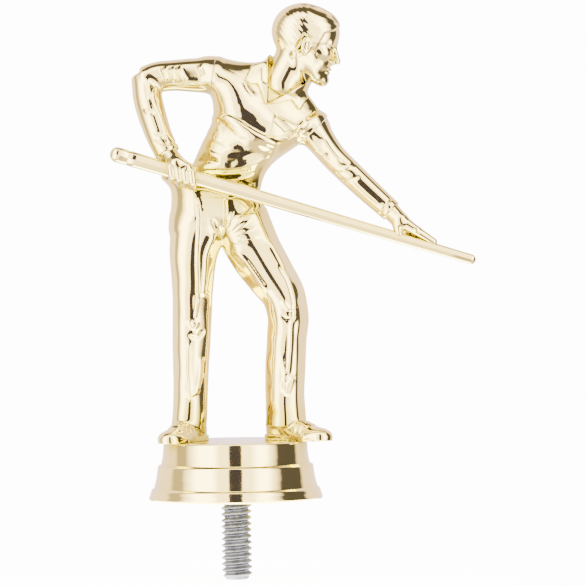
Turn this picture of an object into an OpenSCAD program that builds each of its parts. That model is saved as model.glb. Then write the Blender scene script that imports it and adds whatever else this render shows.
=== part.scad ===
// Pool player trophy figure on a three-tier pedestal with a threaded mounting stud.
// Millimetres, +Z up, origin on the stud's axis in the plane of the pedestal's bottom rim.
// The player faces -Y, looks to +X and leans to +X. Left and right in names are the player's own.

/* [Pedestal] */
// Greatest radius, at the bead of the bottom tier
base_r = 18; // [17.5:0.1:20]
// Radius of the deck that the player stands on
deck_r = 14.95; // [14.5:0.1:15.5]
// Height of the deck above the bottom rim
deck_z = 12; // [11.5:0.1:13]
// Height of the step between the top and middle tiers
step_hi = 7.6; // [7:0.1:8]
// Height of the step between the middle and bottom tiers
step_lo = 2.9; // [2.5:0.1:3.2]
// Thickness of the outer wall and of the deck
wall = 1.5; // [1.2:0.1:1.8]
// Radius of the boss that is moulded round the stud
boss_r = 8; // [7.6:0.1:8.5]
// Height of the boss's lower face above the bottom rim
boss_z = 2.5; // [1:0.1:3.5]
// Number of ribs between the boss and the wall
rib_count = 6; // [3:1:8]

/* [Stud: 1/4-20 UNC hexagon bolt] */
// Major diameter of the thread
thread_d = 6.35; // [6.35]
// Pitch of the thread
thread_pitch = 1.27; // [1.27]
// Length that stands out below the bottom rim
stud_out = 16.5; // [14:0.1:20]
// Plain shank between the thread and the hexagon head, inside the pedestal
shank_d = 5.6; // [5:0.1:6.2]
// Height of the seat of the bolt's head above the bottom rim
head_seat = 5.7; // [5:0.1:6]
// Width of the bolt's head across its flats
head_af = 11.1; // [11.1]
// Height of the bolt's head
head_h = 4; // [3.6:0.1:4.2]

/* [Player] */
// Centre of the waist
waist = [-1.6, 0, 66]; // [-60:0.1:100]
// Centre of the hips
hips = [-2.8, 0, 58]; // [-60:0.1:100]
// Centre of the chest at armpit level
chest = [4, 0, 77.2]; // [-60:0.1:100]
// Centre of the yoke, between the shoulder seams
yoke = [7.9, 0, 82.9]; // [-60:0.1:100]
// Centre of the neck where it leaves the collar
neck = [11.4, 0, 86.4]; // [-60:0.1:100]
// Centre of the neck where it meets the head
neck_top = [13.7, 0, 90.8]; // [-60:0.1:100]
// Centre of the head, halfway from chin to crown
head_mid = [15.9, 0, 93.3]; // [-60:0.1:110]
// Height of the head from chin to crown
head_height = 15.8; // [15:0.1:16]
// Forward pitch of the head
head_pitch = 15; // [5:1:20]
// Centre of the right knee
right_knee = [-8.5, -0.3, 38]; // [-60:0.1:100]
// Centre of the left knee
left_knee = [11.1, -1.8, 38]; // [-60:0.1:100]
// Right ankle, at the trouser hem
right_ankle = [-9.4, 0.6, 16.5]; // [-60:0.1:100]
// Left ankle, at the trouser hem
left_ankle = [10.4, 0.6, 16.5]; // [-60:0.1:100]
// Heading of the right shoe, from +X
right_heading = -115.5; // [-125:0.5:-105]
// Heading of the left shoe, from +X
left_heading = -42; // [-50:0.5:-35]
// Length of a shoe
shoe_l = 17; // [16:0.1:18]
// Width of a shoe's sole at the ball of the foot
shoe_w = 6.4; // [6:0.1:7]

/* [Arms] */
// Centre of the right sleeve at its shoulder seam
right_shoulder = [-3.5, 0, 87.2]; // [-60:0.1:100]
// Right elbow
right_elbow = [-17.4, 0.3, 86.2]; // [-60:0.1:100]
// Right wrist
right_wrist = [-13, -5.8, 71.4]; // [-60:0.1:100]
// Centre of the left sleeve at its shoulder seam
left_shoulder = [17, -0.5, 75.6]; // [-60:0.1:100]
// Left elbow
left_elbow = [24.4, -3, 66.6]; // [-60:0.1:100]
// Left wrist
left_wrist = [32.5, -5.4, 58.9]; // [-60:0.1:100]

/* [Cue] */
// Centre of the cue's butt end
cue_butt = [-23.1, -7.6, 71.1]; // [-60:0.1:100]
// Centre of the cue's tip end
cue_tip = [48.7, -7.6, 48.8]; // [-60:0.1:100]
// Diameter at the butt
cue_butt_d = 3.2; // [3:0.05:3.4]
// Diameter at the tip
cue_tip_d = 2.1; // [1.9:0.05:2.3]

/* [Moulding and fits] */
// Thickness of the body shells
shell = 1.6; // [1.3:0.1:1.8]
// Clearance between a locating peg and its socket, and round the cue
fit = 0.1; // [0.05:0.01:0.15]
// Radius of the locating pegs between the body shells
peg_r = 1; // [0.8:0.1:1.2]
// Radius of the dowels under the shoes
dowel_r = 1.2; // [1:0.1:1.4]
// Length of the dowels under the shoes
dowel_l = 2.6; // [2:0.1:2.8]

/* [Hidden] */

gold = [0.89, 0.80, 0.55];
steel = [0.62, 0.63, 0.64];

ring_sides = 22;      // sides of a limb's or the torso's cross-section
ball_sides = 16;      // facets of the balls that the small shapes are hulled from
round_sides = 48;     // facets of a true round when it is previewed
parting_y = 0;        // plane where the front and back shells meet
big = 200;            // side of a cutting block that takes away a whole half

thread_r = thread_d / 2;
thread_depth = 0.6134 * thread_pitch;   // depth of a unified thread on its bolt
crest_flat = thread_pitch / 8;
root_flat = thread_pitch / 4;
end_lead = 0.35;              // plain length at the stud's tip, below the first ridge

right_sole = [-10.6, -2.6, deck_z];     // middle of each shoe's sole
left_sole = [13, -2, deck_z];
right_dowel = [-9.8, -2.4, deck_z];     // a dowel stands where the deck is under the shoe
left_dowel = [9.4, -2.2, deck_z];
dowel_boss_r = dowel_r + 1.1;

// ---- Small helpers ----

function unit(v) = v / norm(v);

// Direction of a chain of stations at its station i. A station is [centre, half width, half depth].
function heading_at(s, i) = unit(s[min(i + 1, len(s) - 1)][0] - s[max(i - 1, 0)][0]);

// Points of one elliptical ring across the direction t, its depth kept along Y.
function ring(station, t) =
    let (u = unit(cross([0, 1, 0], t)), v = cross(t, u))
    [for (k = [0 : ring_sides - 1])
        let (a = 360 * k / ring_sides)
        station[0] + u * station[1] * cos(a) + v * station[2] * sin(a)];

// A closed tube whose elliptical section runs through the stations.
module tube(s) {
    n = ring_sides;
    last = len(s) - 1;
    points = [for (i = [0 : last]) each ring(s[i], heading_at(s, i))];
    sides = [for (i = [0 : last - 1], k = [0 : n - 1])
        let (a = i * n + k, b = i * n + (k + 1) % n)
        each [[a, b + n, b], [a, a + n, b + n]]];
    ends = [[for (k = [0 : n - 1]) k], [for (k = [n - 1 : -1 : 0]) last * n + k]];
    polyhedron(points = points, faces = concat(sides, ends), convexity = 6);
}

// The same stations with every ring drawn in by d, for the inside of a shell.
function drawn_in(s, d) = [for (t = s) [t[0], max(t[1] - d, 0.4), max(t[2] - d, 0.4)]];

module ball(at, r) {
    translate(at) sphere(r = r, $fn = ball_sides);
}

// A bone: two balls joined by a cone.
module bone(a, ra, b, rb) {
    hull() {
        ball(a, ra);
        ball(b, rb);
    }
}

// Turns +Z to the direction d, and moves the origin to at.
module along(at, d) {
    u = unit(d);
    translate(at)
        rotate([0, acos(u[2]), atan2(u[1], u[0])])
            children();
}

// ---- Pedestal ----

// Half outline of the pedestal, from the inner edge of the rim round the outside to the deck.
function pedestal_outline() = [
    [base_r - wall - 0.2, 0],
    for (a = [0 : 30 : 90]) [base_r - 0.55 + 0.55 * sin(a), 0.6 - 0.6 * cos(a)],
    [base_r, 1], [base_r - 0.1, 1.7], [base_r - 0.3, 2.3], [base_r - 0.6, step_lo - 0.15],
    [base_r - 0.85, step_lo], [base_r - 1.1, step_lo + 0.6],
    [base_r - 1.3, step_lo + 1.3], [base_r - 1.45, step_lo + 2.3],
    [base_r - 1.6, step_lo + 3.4], [base_r - 1.85, step_hi - 0.6], [base_r - 2.15, step_hi - 0.1],
    [deck_r + 0.7, step_hi], [deck_r + 0.4, step_hi + 0.6], [deck_r + 0.15, step_hi + 1.4],
    [deck_r, step_hi + 2.3], [deck_r, deck_z - 0.4],
    for (a = [30 : 30 : 90]) [deck_r - 0.4 + 0.4 * cos(a), deck_z - 0.4 + 0.4 * sin(a)],
    [0, deck_z],
    [0, deck_z - wall], [deck_r - wall, deck_z - wall],
    [deck_r - wall, step_hi], [base_r - 1.7 - wall, step_hi - 1.2],
    [base_r - 1.4 - wall, step_lo + 0.5], [base_r - 0.5 - wall, step_lo - 1]];

// Bracket on the top tier, under the part of the left shoe that overhangs the deck.
module left_shoe_bracket() {
    reach = shoe_l / 2 - 0.9;          // from the sole's middle to under the toe
    translate([left_sole[0], left_sole[1], 0])
        rotate([0, 0, left_heading])
            translate([0, 1.7, 0])
                rotate([90, 0, 0])
                    linear_extrude(height = 3.4)
                        polygon([[0, deck_z], [reach, deck_z], [reach - 0.1, deck_z - 0.4],
                            [reach - 1.8, deck_z - 1], [2.3, deck_z - 2.3], [0, deck_z - 2.3]]);
}

module pedestal() {
    color(gold)
        difference() {
            union() {
                rotate_extrude($fn = round_sides) polygon(pedestal_outline());
                translate([0, 0, boss_z])
                    cylinder(r = boss_r, h = deck_z - 0.5 - boss_z, $fn = round_sides);
                for (i = [0 : rib_count - 1])
                    rotate([0, 0, 30 + 360 * i / rib_count])
                        translate([boss_r - 0.5, -0.6, step_lo + 1])
                            cube([base_r - 3 - boss_r, 1.2, deck_z - 0.5 - step_lo - 1]);
                for (p = [right_dowel, left_dowel])
                    translate([p[0], p[1], deck_z - dowel_l - 1])
                        cylinder(r = dowel_boss_r, h = dowel_l + 0.5, $fn = round_sides);
                left_shoe_bracket();
            }
            // the stud is moulded in: its plain shank and its head fill these
            translate([0, 0, boss_z - 1])
                cylinder(r = shank_d / 2, h = head_seat - boss_z + 1.01, $fn = round_sides);
            translate([0, 0, head_seat]) bolt_head();
            for (p = [right_dowel, left_dowel])
                translate([p[0], p[1], deck_z - dowel_l - 0.2])
                    cylinder(r = dowel_r + fit, h = dowel_l + 1, $fn = round_sides);
        }
}

// ---- Stud ----

module bolt_head() {
    rotate([0, 0, 30])
        cylinder(r = head_af / 2 / cos(30), h = head_h, $fn = 6);
}

// Half outline of the threaded length: one ridge with a flat crest for each pitch.
function ridge(z) = [
    [thread_r - thread_depth, z],
    [thread_r - thread_depth, z + root_flat],
    [thread_r, z + (thread_pitch + root_flat - crest_flat) / 2],
    [thread_r, z + (thread_pitch + root_flat + crest_flat) / 2]];

module stud() {
    root_r = thread_r - thread_depth;
    start = end_lead - stud_out;
    turns = ceil(-start / thread_pitch);
    top = start + turns * thread_pitch;
    color(steel)
        union() {
            rotate_extrude($fn = round_sides)
                polygon(concat(
                    [[0, -stud_out], [root_r - 0.3, -stud_out], [root_r, end_lead - 0.05 - stud_out]],
                    [for (i = [0 : turns - 1]) each ridge(start + i * thread_pitch)],
                    [[root_r, top], [root_r, top + 0.2], [shank_d / 2, top + 0.5],
                        [shank_d / 2, head_seat], [0, head_seat]]));
            translate([0, 0, head_seat]) bolt_head();
        }
}

// ---- Player: torso, legs and shoes ----

torso = [
    [[-2.7, 0, 53], 9.2, 5.4],
    [hips, 10, 6.2],
    [[-2.7, 0, 62], 9.6, 5.8],
    [waist, 8.3, 5.6],
    [[0.2, 0, 71.5], 8.1, 6],
    [chest, 10.3, 6.8],
    [yoke, 13.2, 6.4],
    [[8.7, 0, 85.3], 10.8, 5],
    [[9.9, 0, 87], 6, 4.4],
    [[10.4, 0, 87.9], 3.6, 3.2]];

right_leg = [
    [[-6.6, 0.2, 57], 6, 5.6],
    [[-8.1, 0, 51], 4.9, 5],
    [[-8.4, -0.1, 44.5], 4.1, 4.5],
    [right_knee, 3.85, 4.2],
    [[-8.8, 0.1, 31], 3.7, 4.1],
    [[-9, 0.4, 24], 3.6, 3.9],
    [right_ankle, 3.5, 3.8],
    [right_ankle - [0.2, 0, 1.6], 3.5, 3.9]];

left_leg = [
    [[1.6, 0.2, 57], 6, 5.6],
    [[4.8, -0.3, 51], 5.2, 5.1],
    [[8, -1, 45.6], 4.5, 4.7],
    [[10.3, -1.6, 41.4], 4.2, 4.5],
    [left_knee, 4, 4.3],
    [[10.8, -1.3, 33], 3.8, 4.1],
    [[10.5, -0.6, 27], 3.8, 4],
    [[10.3, 0, 21], 3.7, 3.9],
    [left_ankle, 3.9, 4],
    [left_ankle - [0, 0, 1.4], 4, 4.1]];

// A shoe with its toe along +X and its sole's middle at the origin.
module shoe() {
    heel = -shoe_l / 2;
    toe = shoe_l / 2;
    half = shoe_w / 2;
    hull() {
        translate([heel + 2.6, 0, 0]) cylinder(r = 2.6, h = 1, $fn = ring_sides);
        translate([toe - half - 1.6, 0, 0]) cylinder(r = half, h = 0.8, $fn = ring_sides);
        translate([toe - 2.2, 0, 0.2]) cylinder(r = 2.2, h = 0.5, $fn = ring_sides);
    }
    hull() {
        ball([heel + 3.1, 0, 2.6], 2.6);
        ball([-0.6, 0, 2.2], 2.9);
        translate([heel + 3.3, 0, 0.9]) cylinder(r = 2.6, h = 1, $fn = ring_sides);
    }
    hull() {
        ball([-0.6, 0, 2.2], 2.6);
        translate([toe - half - 1.8, 0, 0.8]) scale([1, 1, 0.62]) sphere(r = half - 0.1, $fn = ball_sides);
    }
    hull() {
        translate([toe - half - 1.8, 0, 0.8]) scale([1, 1, 0.62]) sphere(r = half - 0.1, $fn = ball_sides);
        translate([toe - 2.1, 0, 0.7]) scale([1, 1, 0.68]) sphere(r = 2, $fn = ball_sides);
    }
}

module placed_shoe(sole, turn) {
    intersection() {
        translate(sole) rotate([0, 0, turn]) shoe();
        translate([-big / 2, -big / 2, deck_z]) cube([big, big, 20]);
    }
}

// A collar leaf laid on the shirt: a thin plate through three or four points.
module leaf(points) {
    hull()
        for (p = points) ball(p, 0.45);
}

// The shirt's open collar: its two leaves meet in a V below the throat.
module collar() {
    v_point = [7.6, -6.3, 81.2];
    leaf([v_point, [7.7, -3.4, 89], [4.6, -4.2, 88.4], [5.4, -5.8, 84]]);
    leaf([v_point + [0.6, 0, 0.3], [14.9, -3.6, 84.6], [14, -5.3, 80.8]]);
    leaf([[7.7, -3.2, 89], [7.4, 1.4, 90.4], [5.6, 0.6, 90.2]]);
    leaf([[14.9, -3.6, 84.6], [15.2, 0.6, 84.4], [14.6, 0.6, 83.6]]);
}

// An arm's peg starts inside the sleeve and runs inward across the seam.
module arm_peg(seam, inward, more) {
    along(seam - inward * 1.5, inward) cylinder(r = arm_peg_r + more, h = 4.5 + more, $fn = ring_sides);
}

neck_axis = unit(neck_top - neck);
right_inward = unit([1, 0, -0.17]);
left_inward = unit([-0.66, 0, 0.75]);
neck_r = 4.3;
seam_slack = 0.05;            // an arm's seam face stands this far off the body's
arm_peg_r = 1.3;
right_peg = right_shoulder + [-0.2, 0, -1.2];
left_peg = left_shoulder + [0, 0.3, 0];

module body_solid() {
    difference() {
        union() {
            tube(torso);
            tube(right_leg);
            tube(left_leg);
            collar();
            placed_shoe(right_sole, right_heading);
            placed_shoe(left_sole, left_heading);
        }
        // the torso and thighs are cored out
        tube(drawn_in([for (i = [1 : 6]) torso[i]], shell));
        tube(drawn_in([for (i = [0 : 3]) right_leg[i]], shell));
        tube(drawn_in([for (i = [0 : 3]) left_leg[i]], shell));
        // flat faces where the sleeves and the neck are fixed
        seam_cut(right_shoulder, right_inward);
        seam_cut(left_shoulder, left_inward);
        arm_peg(right_peg, right_inward, fit);
        arm_peg(left_peg, left_inward, fit);
        along(neck - neck_axis * 6.2, neck_axis) cylinder(r = 2.5 + fit, h = 12, $fn = ring_sides);
        along(neck - neck_axis * 1.2, neck_axis) cylinder(r = neck_r + fit, h = 8, $fn = ring_sides);
    }
    // pillars that carry the locating pegs through the hollow chest and hips
    for (p = pillar_places())
        translate([p[0], -4.8, p[1]]) rotate([-90, 0, 0]) cylinder(r = 2, h = 9.6, $fn = ball_sides);
}

// All that lies outward of a shoulder seam, down to the armpit.
module seam_cut(seam, inward) {
    along(seam, -inward) translate([-9, -9, 0]) cube([13.2, 18, 12]);
}

// All that lies inward of a sleeve's own face at the seam.
module seam_trim(seam, inward) {
    along(seam - inward * seam_slack, inward) translate([-9, -9, 0]) cube([18, 18, 6]);
}

function pillar_places() = [[1.5, 73], [-2.7, 59]];
function peg_places() = concat(pillar_places(), [[-8.8, 28], [10.6, 28]]);

module pegs(r, l) {
    for (p = peg_places())
        translate([p[0], parting_y + 0.01, p[1]]) rotate([90, 0, 0]) cylinder(r = r, h = l, $fn = ball_sides);
}

module body_front() {
    color(gold) {
        difference() {
            body_solid();
            translate([-big / 2, parting_y, -big / 2]) cube(big);
            pegs(peg_r + fit, 2.2);
        }
        for (p = [right_dowel, left_dowel])
            translate([p[0], p[1], deck_z - dowel_l])
                cylinder(r = dowel_r, h = dowel_l + 0.5, $fn = ring_sides);
    }
}

module body_back() {
    color(gold) {
        difference() {
            body_solid();
            translate([-big / 2, parting_y - big, -big / 2]) cube(big);
        }
        pegs(peg_r, 2);
    }
}

// ---- Cue ----

cue_way = unit(cue_tip - cue_butt);
// Centre of the cue at a given X
function cue_at(x) = cue_butt + cue_way * (x - cue_butt[0]) / cue_way[0];

// The tapered cue with its round ends, grown all round by more.
module cue_solid(more) {
    butt_r = cue_butt_d / 2 + more;
    tip_r = cue_tip_d / 2 + more;
    length = norm(cue_tip - cue_butt);
    along(cue_butt, cue_way) {
        cylinder(r1 = butt_r, r2 = tip_r, h = length, $fn = round_sides);
        sphere(r = butt_r, $fn = round_sides);
        translate([0, 0, length]) sphere(r = tip_r, $fn = round_sides);
    }
}

module cue() {
    color(gold) cue_solid(0);
}

// ---- Head ----

// Places its children in the head's own frame: +X forward out of the face, +Z to the crown.
module head_frame() {
    translate(head_mid) rotate([0, head_pitch, 0]) children();
}

module oval(at, radii) {
    translate(at) scale(radii) sphere(r = 1, $fn = ring_sides);
}

module head() {
    h = head_height;
    color(gold) {
        head_frame() {
            // skull and hair
            hull() {
                oval([-0.07 * h, 0, 0.13 * h], [0.4 * h, 0.325 * h, 0.36 * h]);
                oval([0.14 * h, 0, 0.19 * h], [0.28 * h, 0.27 * h, 0.26 * h]);
            }
            // face from brow to chin
            hull() {
                oval([0.1 * h, 0, 0.1 * h], [0.29 * h, 0.27 * h, 0.2 * h]);
                oval([0.14 * h, 0, -0.2 * h], [0.2 * h, 0.2 * h, 0.2 * h]);
            }
            hull() {
                oval([0.12 * h, 0, -0.2 * h], [0.2 * h, 0.23 * h, 0.18 * h]);
                oval([0.23 * h, 0, -0.4 * h], [0.1 * h, 0.12 * h, 0.09 * h]);
            }
            // jaw
            for (side = [-1, 1])
                hull() {
                    oval([-0.02 * h, side * 0.2 * h, -0.14 * h], [0.09 * h, 0.06 * h, 0.1 * h]);
                    oval([0.22 * h, side * 0.06 * h, -0.4 * h], [0.07 * h, 0.06 * h, 0.06 * h]);
                }
            // nose
            hull() {
                oval([0.37 * h, 0, 0.02 * h], [0.03 * h, 0.035 * h, 0.05 * h]);
                oval([0.43 * h, 0, -0.14 * h], [0.035 * h, 0.06 * h, 0.035 * h]);
            }
            // ears
            for (side = [-1, 1])
                hull() {
                    oval([-0.03 * h, side * 0.315 * h, 0.04 * h], [0.06 * h, 0.03 * h, 0.07 * h]);
                    oval([0, side * 0.295 * h, -0.08 * h], [0.035 * h, 0.03 * h, 0.05 * h]);
                }
        }
        // neck, and the spigot that goes down into the collar
        hull() {
            along(neck - neck_axis * 1.2, neck_axis) cylinder(r = neck_r, h = 1, $fn = ring_sides);
            along(neck_top, neck_axis) cylinder(r = neck_r - 0.2, h = 1, $fn = ring_sides);
        }
        along(neck - neck_axis * 6, neck_axis) cylinder(r = 2.5, h = 7, $fn = ring_sides);
    }
}

// ---- Arms ----

right_sleeve = [
    [right_shoulder + right_inward, 3.8, 4],
    [[-7.5, 0, 87.2], 3.5, 3.5],
    [[-11.5, 0.1, 87.2], 3.2, 3.3],
    [[-15, 0.3, 86.9], 3.15, 3.1]];

right_forearm = [
    [right_elbow, 3.1, 3.1],
    [[-16.9, -1.1, 82.4], 3, 3],
    [[-15.9, -2.9, 78.6], 2.9, 2.8],
    [[-14.6, -4.6, 74.8], 2.7, 2.6],
    [right_wrist, 2.65, 2.5]];

left_sleeve = [
    [left_shoulder + left_inward, 3.85, 4],
    [[18.4, -1.1, 73.5], 3.1, 3.3],
    [[20.8, -1.9, 70.3], 2.75, 3],
    [left_elbow, 2.65, 2.7],
    [[28.3, -4.2, 62.8], 2.5, 2.5],
    [left_wrist, 2.3, 2.35]];

// One finger of the gripping hand: from its knuckle over the cue's front and in under it.
module gripping_finger(x, r) {
    c = cue_at(x);
    bone(c + [0, -1.9, 0.9], r, c + [0.2, -1.7, -1], r);
    bone(c + [0.2, -1.7, -1], r, c + [0.2, 0.4, -2.1], r);
}

module right_hand() {
    palm = cue_at(right_wrist[0] + 2.4);
    bone(right_wrist, 2.3, palm + [-0.4, -0.8, 1.6], 2.2);
    bone(palm + [-0.4, -0.8, 1.6], 2, palm + [1.6, -1.4, 0.9], 1.5);
    bone(right_wrist, 2, palm + [-0.4, 1.6, 0.4], 1.3);
    for (i = [0 : 3])
        gripping_finger(palm[0] - 1.6 + 1.4 * i, 0.85);
    bone(palm + [-0.4, 1.6, 0.4], 1.1, palm + [3, 1.5, 0.6], 0.9);
}

module right_arm() {
    color(gold)
        difference() {
            union() {
                difference() {
                    union() {
                        tube(right_sleeve);
                        bone(right_sleeve[3][0], 3, right_elbow, 3.25);
                        tube(right_forearm);
                        right_hand();
                    }
                    seam_trim(right_shoulder, right_inward);
                }
                arm_peg(right_peg, right_inward, 0);
            }
            cue_solid(fit);
        }
}

// The bridge hand is laid over the cue: index finger along it, thumb before it, fingers behind it.
module left_hand() {
    tip = cue_at(left_wrist[0] + 8.6);
    root = left_wrist + [1.9, -1.4, -2.1];
    bone(left_wrist, 2.1, root, 1.9);
    bone(root, 1.7, tip + [-3.4, -0.2, 3.6], 1);
    bone(tip + [-3.4, -0.2, 3.6], 1, tip + [0, 0, 1.3], 0.8);
    bone(root + [-0.6, 0, 0], 1.3, tip + [-7, -0.3, 3], 0.9);
    for (i = [0 : 2]) {
        knuckle = tip + [-5 + 1.6 * i, 1.7, 3.4 - 0.9 * i];
        bone(root + [0, 0.8, 0], 1.3, knuckle, 0.9);
        bone(knuckle, 0.9, tip + [-4.6 + 1.6 * i, 1.9, 1.3 - 0.5 * i], 0.75);
    }
}

module left_arm() {
    color(gold)
        difference() {
            union() {
                difference() {
                    union() {
                        tube(left_sleeve);
                        left_hand();
                    }
                    seam_trim(left_shoulder, left_inward);
                }
                arm_peg(left_peg, left_inward, 0);
            }
            cue_solid(fit);
        }
}

pedestal();
stud();
body_front();
body_back();
head();
right_arm();
left_arm();
cue();
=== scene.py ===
import math

import bmesh
import bpy
import numpy as np
from mathutils import Matrix, Vector


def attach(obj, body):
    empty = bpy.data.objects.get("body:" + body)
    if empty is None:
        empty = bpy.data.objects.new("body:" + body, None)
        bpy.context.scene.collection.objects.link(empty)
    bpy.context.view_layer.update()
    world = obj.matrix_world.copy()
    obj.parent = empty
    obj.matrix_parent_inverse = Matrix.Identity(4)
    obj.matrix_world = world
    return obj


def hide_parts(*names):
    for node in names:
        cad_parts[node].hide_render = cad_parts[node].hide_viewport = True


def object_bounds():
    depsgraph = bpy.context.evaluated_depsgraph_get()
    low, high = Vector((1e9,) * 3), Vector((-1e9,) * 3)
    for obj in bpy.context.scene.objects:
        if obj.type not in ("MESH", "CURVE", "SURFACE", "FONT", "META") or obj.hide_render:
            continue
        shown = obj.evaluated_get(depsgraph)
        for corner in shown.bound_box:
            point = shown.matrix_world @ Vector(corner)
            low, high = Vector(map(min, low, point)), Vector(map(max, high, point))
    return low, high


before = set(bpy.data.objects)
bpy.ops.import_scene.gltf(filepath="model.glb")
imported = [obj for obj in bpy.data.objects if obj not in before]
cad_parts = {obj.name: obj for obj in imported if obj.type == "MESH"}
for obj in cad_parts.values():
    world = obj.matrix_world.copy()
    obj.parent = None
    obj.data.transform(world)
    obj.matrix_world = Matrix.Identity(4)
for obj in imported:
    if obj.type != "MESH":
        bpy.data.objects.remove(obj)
cad_lo, cad_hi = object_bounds()
MM = 0.001
COARSE = 1.0

# ------------------------------------------------------------------ distance fields, in millimetres


def vec(*v):
    return np.array(v, float)


def unit(v):
    v = np.asarray(v, float)
    return v / np.linalg.norm(v)


def smin(a, b, k):
    h = np.clip(0.5 + 0.5 * (b - a) / k, 0, 1)
    return b + (a - b) * h - k * h * (1 - h)


def smax(a, b, k):
    return -smin(-a, -b, k)


def step(x, lo, hi):
    t = np.clip((x - lo) / (hi - lo), 0, 1)
    return t * t * (3 - 2 * t)


def ball(p, c, r):
    return np.linalg.norm(p - np.asarray(c, p.dtype), axis=1) - r


def oval(p, c, radii, turn=None):
    """Ellipsoid, its axes turned by a 3x3 matrix whose rows are the axes."""
    q = p - np.asarray(c, p.dtype)
    if turn is not None:
        q = q @ np.asarray(turn, p.dtype).T
    r = np.asarray(radii, p.dtype)
    k0 = np.linalg.norm(q / r, axis=1)
    k1 = np.linalg.norm(q / (r * r), axis=1) + 1e-9
    return k0 * (k0 - 1) / k1


def bone(p, a, ra, b, rb):
    a, b = np.asarray(a, p.dtype), np.asarray(b, p.dtype)
    ab = b - a
    t = np.clip((p - a) @ ab / (ab @ ab), 0, 1)
    return np.linalg.norm(p - a - t[:, None] * ab, axis=1) - (ra + (rb - ra) * t)


def chain(p, pts, radii, k):
    d = None
    for i in range(len(pts) - 1):
        e = bone(p, pts[i], radii[i], pts[i + 1], radii[i + 1])
        d = e if d is None else smin(d, e, k)
    return d


def axes_of(x, z=(0, 0, 1)):
    """Rows: x, and the two axes square to it, the last as near z as can be."""
    x = unit(x)
    z = unit(np.asarray(z, float) - x * np.dot(z, x))
    return np.array([x, np.cross(z, x), z])


class Tube:
    """A loft of superellipses square to a smooth centre line: rows of (centre, half width, half depth)."""

    def __init__(self, rows, power=2.0, lift=(0, 1, 0), end=(0.8, 0.8), count=90):
        s = np.array([[*c, a, b] for c, a, b in rows], float)
        cut = np.r_[0, np.cumsum(np.linalg.norm(np.diff(s[:, :3], axis=0), axis=1))]
        m = np.gradient(s, cut, axis=0)
        u = np.linspace(0, cut[-1], count)
        i = np.clip(np.searchsorted(cut, u, side="right") - 1, 0, len(cut) - 2)
        w = (cut[i + 1] - cut[i])[:, None]
        t = ((u - cut[i]) / w[:, 0])[:, None]
        f = ((2 * t**3 - 3 * t**2 + 1) * s[i] + (t**3 - 2 * t**2 + t) * w * m[i]
             + (3 * t**2 - 2 * t**3) * s[i + 1] + (t**3 - t**2) * w * m[i + 1])
        self.u, self.f, self.power, self.end = u, f, power, end
        way = np.gradient(f[:, :3], u, axis=0)
        self.t = way / np.linalg.norm(way, axis=1)[:, None]
        side = np.cross(np.asarray(lift, float), self.t)
        self.s = side / np.linalg.norm(side, axis=1)[:, None]
        self.chord = unit(f[-1, :3] - f[0, :3])
        self.along = (f[:, :3] - f[0, :3]) @ self.chord

    def look(self, u, rows):
        return np.stack([np.interp(u, self.u, rows[:, k]) for k in range(3)], axis=1)

    def local(self, p):
        """(length along the centre line, position across the width and the depth, distance past an end)."""
        q = p - self.f[0, :3].astype(p.dtype)
        u = np.interp(q @ self.chord.astype(p.dtype), self.along, self.u)
        for _ in range(4):
            c, t = self.look(u, self.f), self.look(u, self.t)
            w = np.einsum("ij,ij->i", p - c, t)
            u = np.clip(u + 0.85 * w, 0, self.u[-1])
        c, t, s = self.look(u, self.f), self.look(u, self.t), self.look(u, self.s)
        q = p - c
        w = np.einsum("ij,ij->i", q, t)
        x = np.einsum("ij,ij->i", q, s)
        y = np.einsum("ij,ij->i", q, np.cross(t, s))
        return u, x, y, w

    def __call__(self, p):
        u, x, y, w = self.local(p)
        a = np.interp(u, self.u, self.f[:, 3])
        b = np.interp(u, self.u, self.f[:, 4])
        e = self.power
        X, Y = np.abs(x / a) + 1e-6, np.abs(y / b) + 1e-6
        k = (X**e + Y**e) ** (1 / e)
        g = np.hypot((X / k) ** (e - 1) / a, (Y / k) ** (e - 1) / b)
        d = (k - 1) / g
        past = np.where(u > self.u[-1] / 2, w, -w)
        r = np.where(u > self.u[-1] / 2, self.end[1], self.end[0])
        inner = np.maximum(d, -4)
        return np.where(past > 1e-4, np.hypot(np.maximum(inner + r, 0), past) - r
                        + np.minimum(inner + r, 0) * 0.2, d)


class Pressed(Tube):
    """A trouser leg pressed into flat faces, each given by the way it looks: degrees from -Y towards +X."""

    def __init__(self, rows, looks, crisp=11.0, **more):
        super().__init__(rows, **more)
        a = np.radians(looks)
        self.nx, self.ny, self.crisp = -np.sin(a), -np.cos(a), crisp

    def __call__(self, p):
        u, x, y, w = self.local(p)
        a = np.interp(u, self.u, self.f[:, 3])
        b = np.interp(u, self.u, self.f[:, 4])
        e = self.crisp
        total, gx, gy = 0, 0, 0
        for nx, ny in zip(self.nx, self.ny):
            h = np.hypot(a * nx, b * ny)
            v = np.maximum((x * nx + y * ny) / h, 1e-4)
            total = total + v**e
            gx, gy = gx + v ** (e - 1) * nx / h, gy + v ** (e - 1) * ny / h
        k = total ** (1 / e)
        g = np.hypot(gx, gy) / k ** (e - 1)
        d = (k - 1) / g
        past = np.where(u > self.u[-1] / 2, w, -w)
        r = np.where(u > self.u[-1] / 2, self.end[1], self.end[0])
        inner = np.maximum(d, -4)
        return np.where(past > 1e-4, np.hypot(np.maximum(inner + r, 0), past) - r
                        + np.minimum(inner + r, 0) * 0.2, d)


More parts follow.
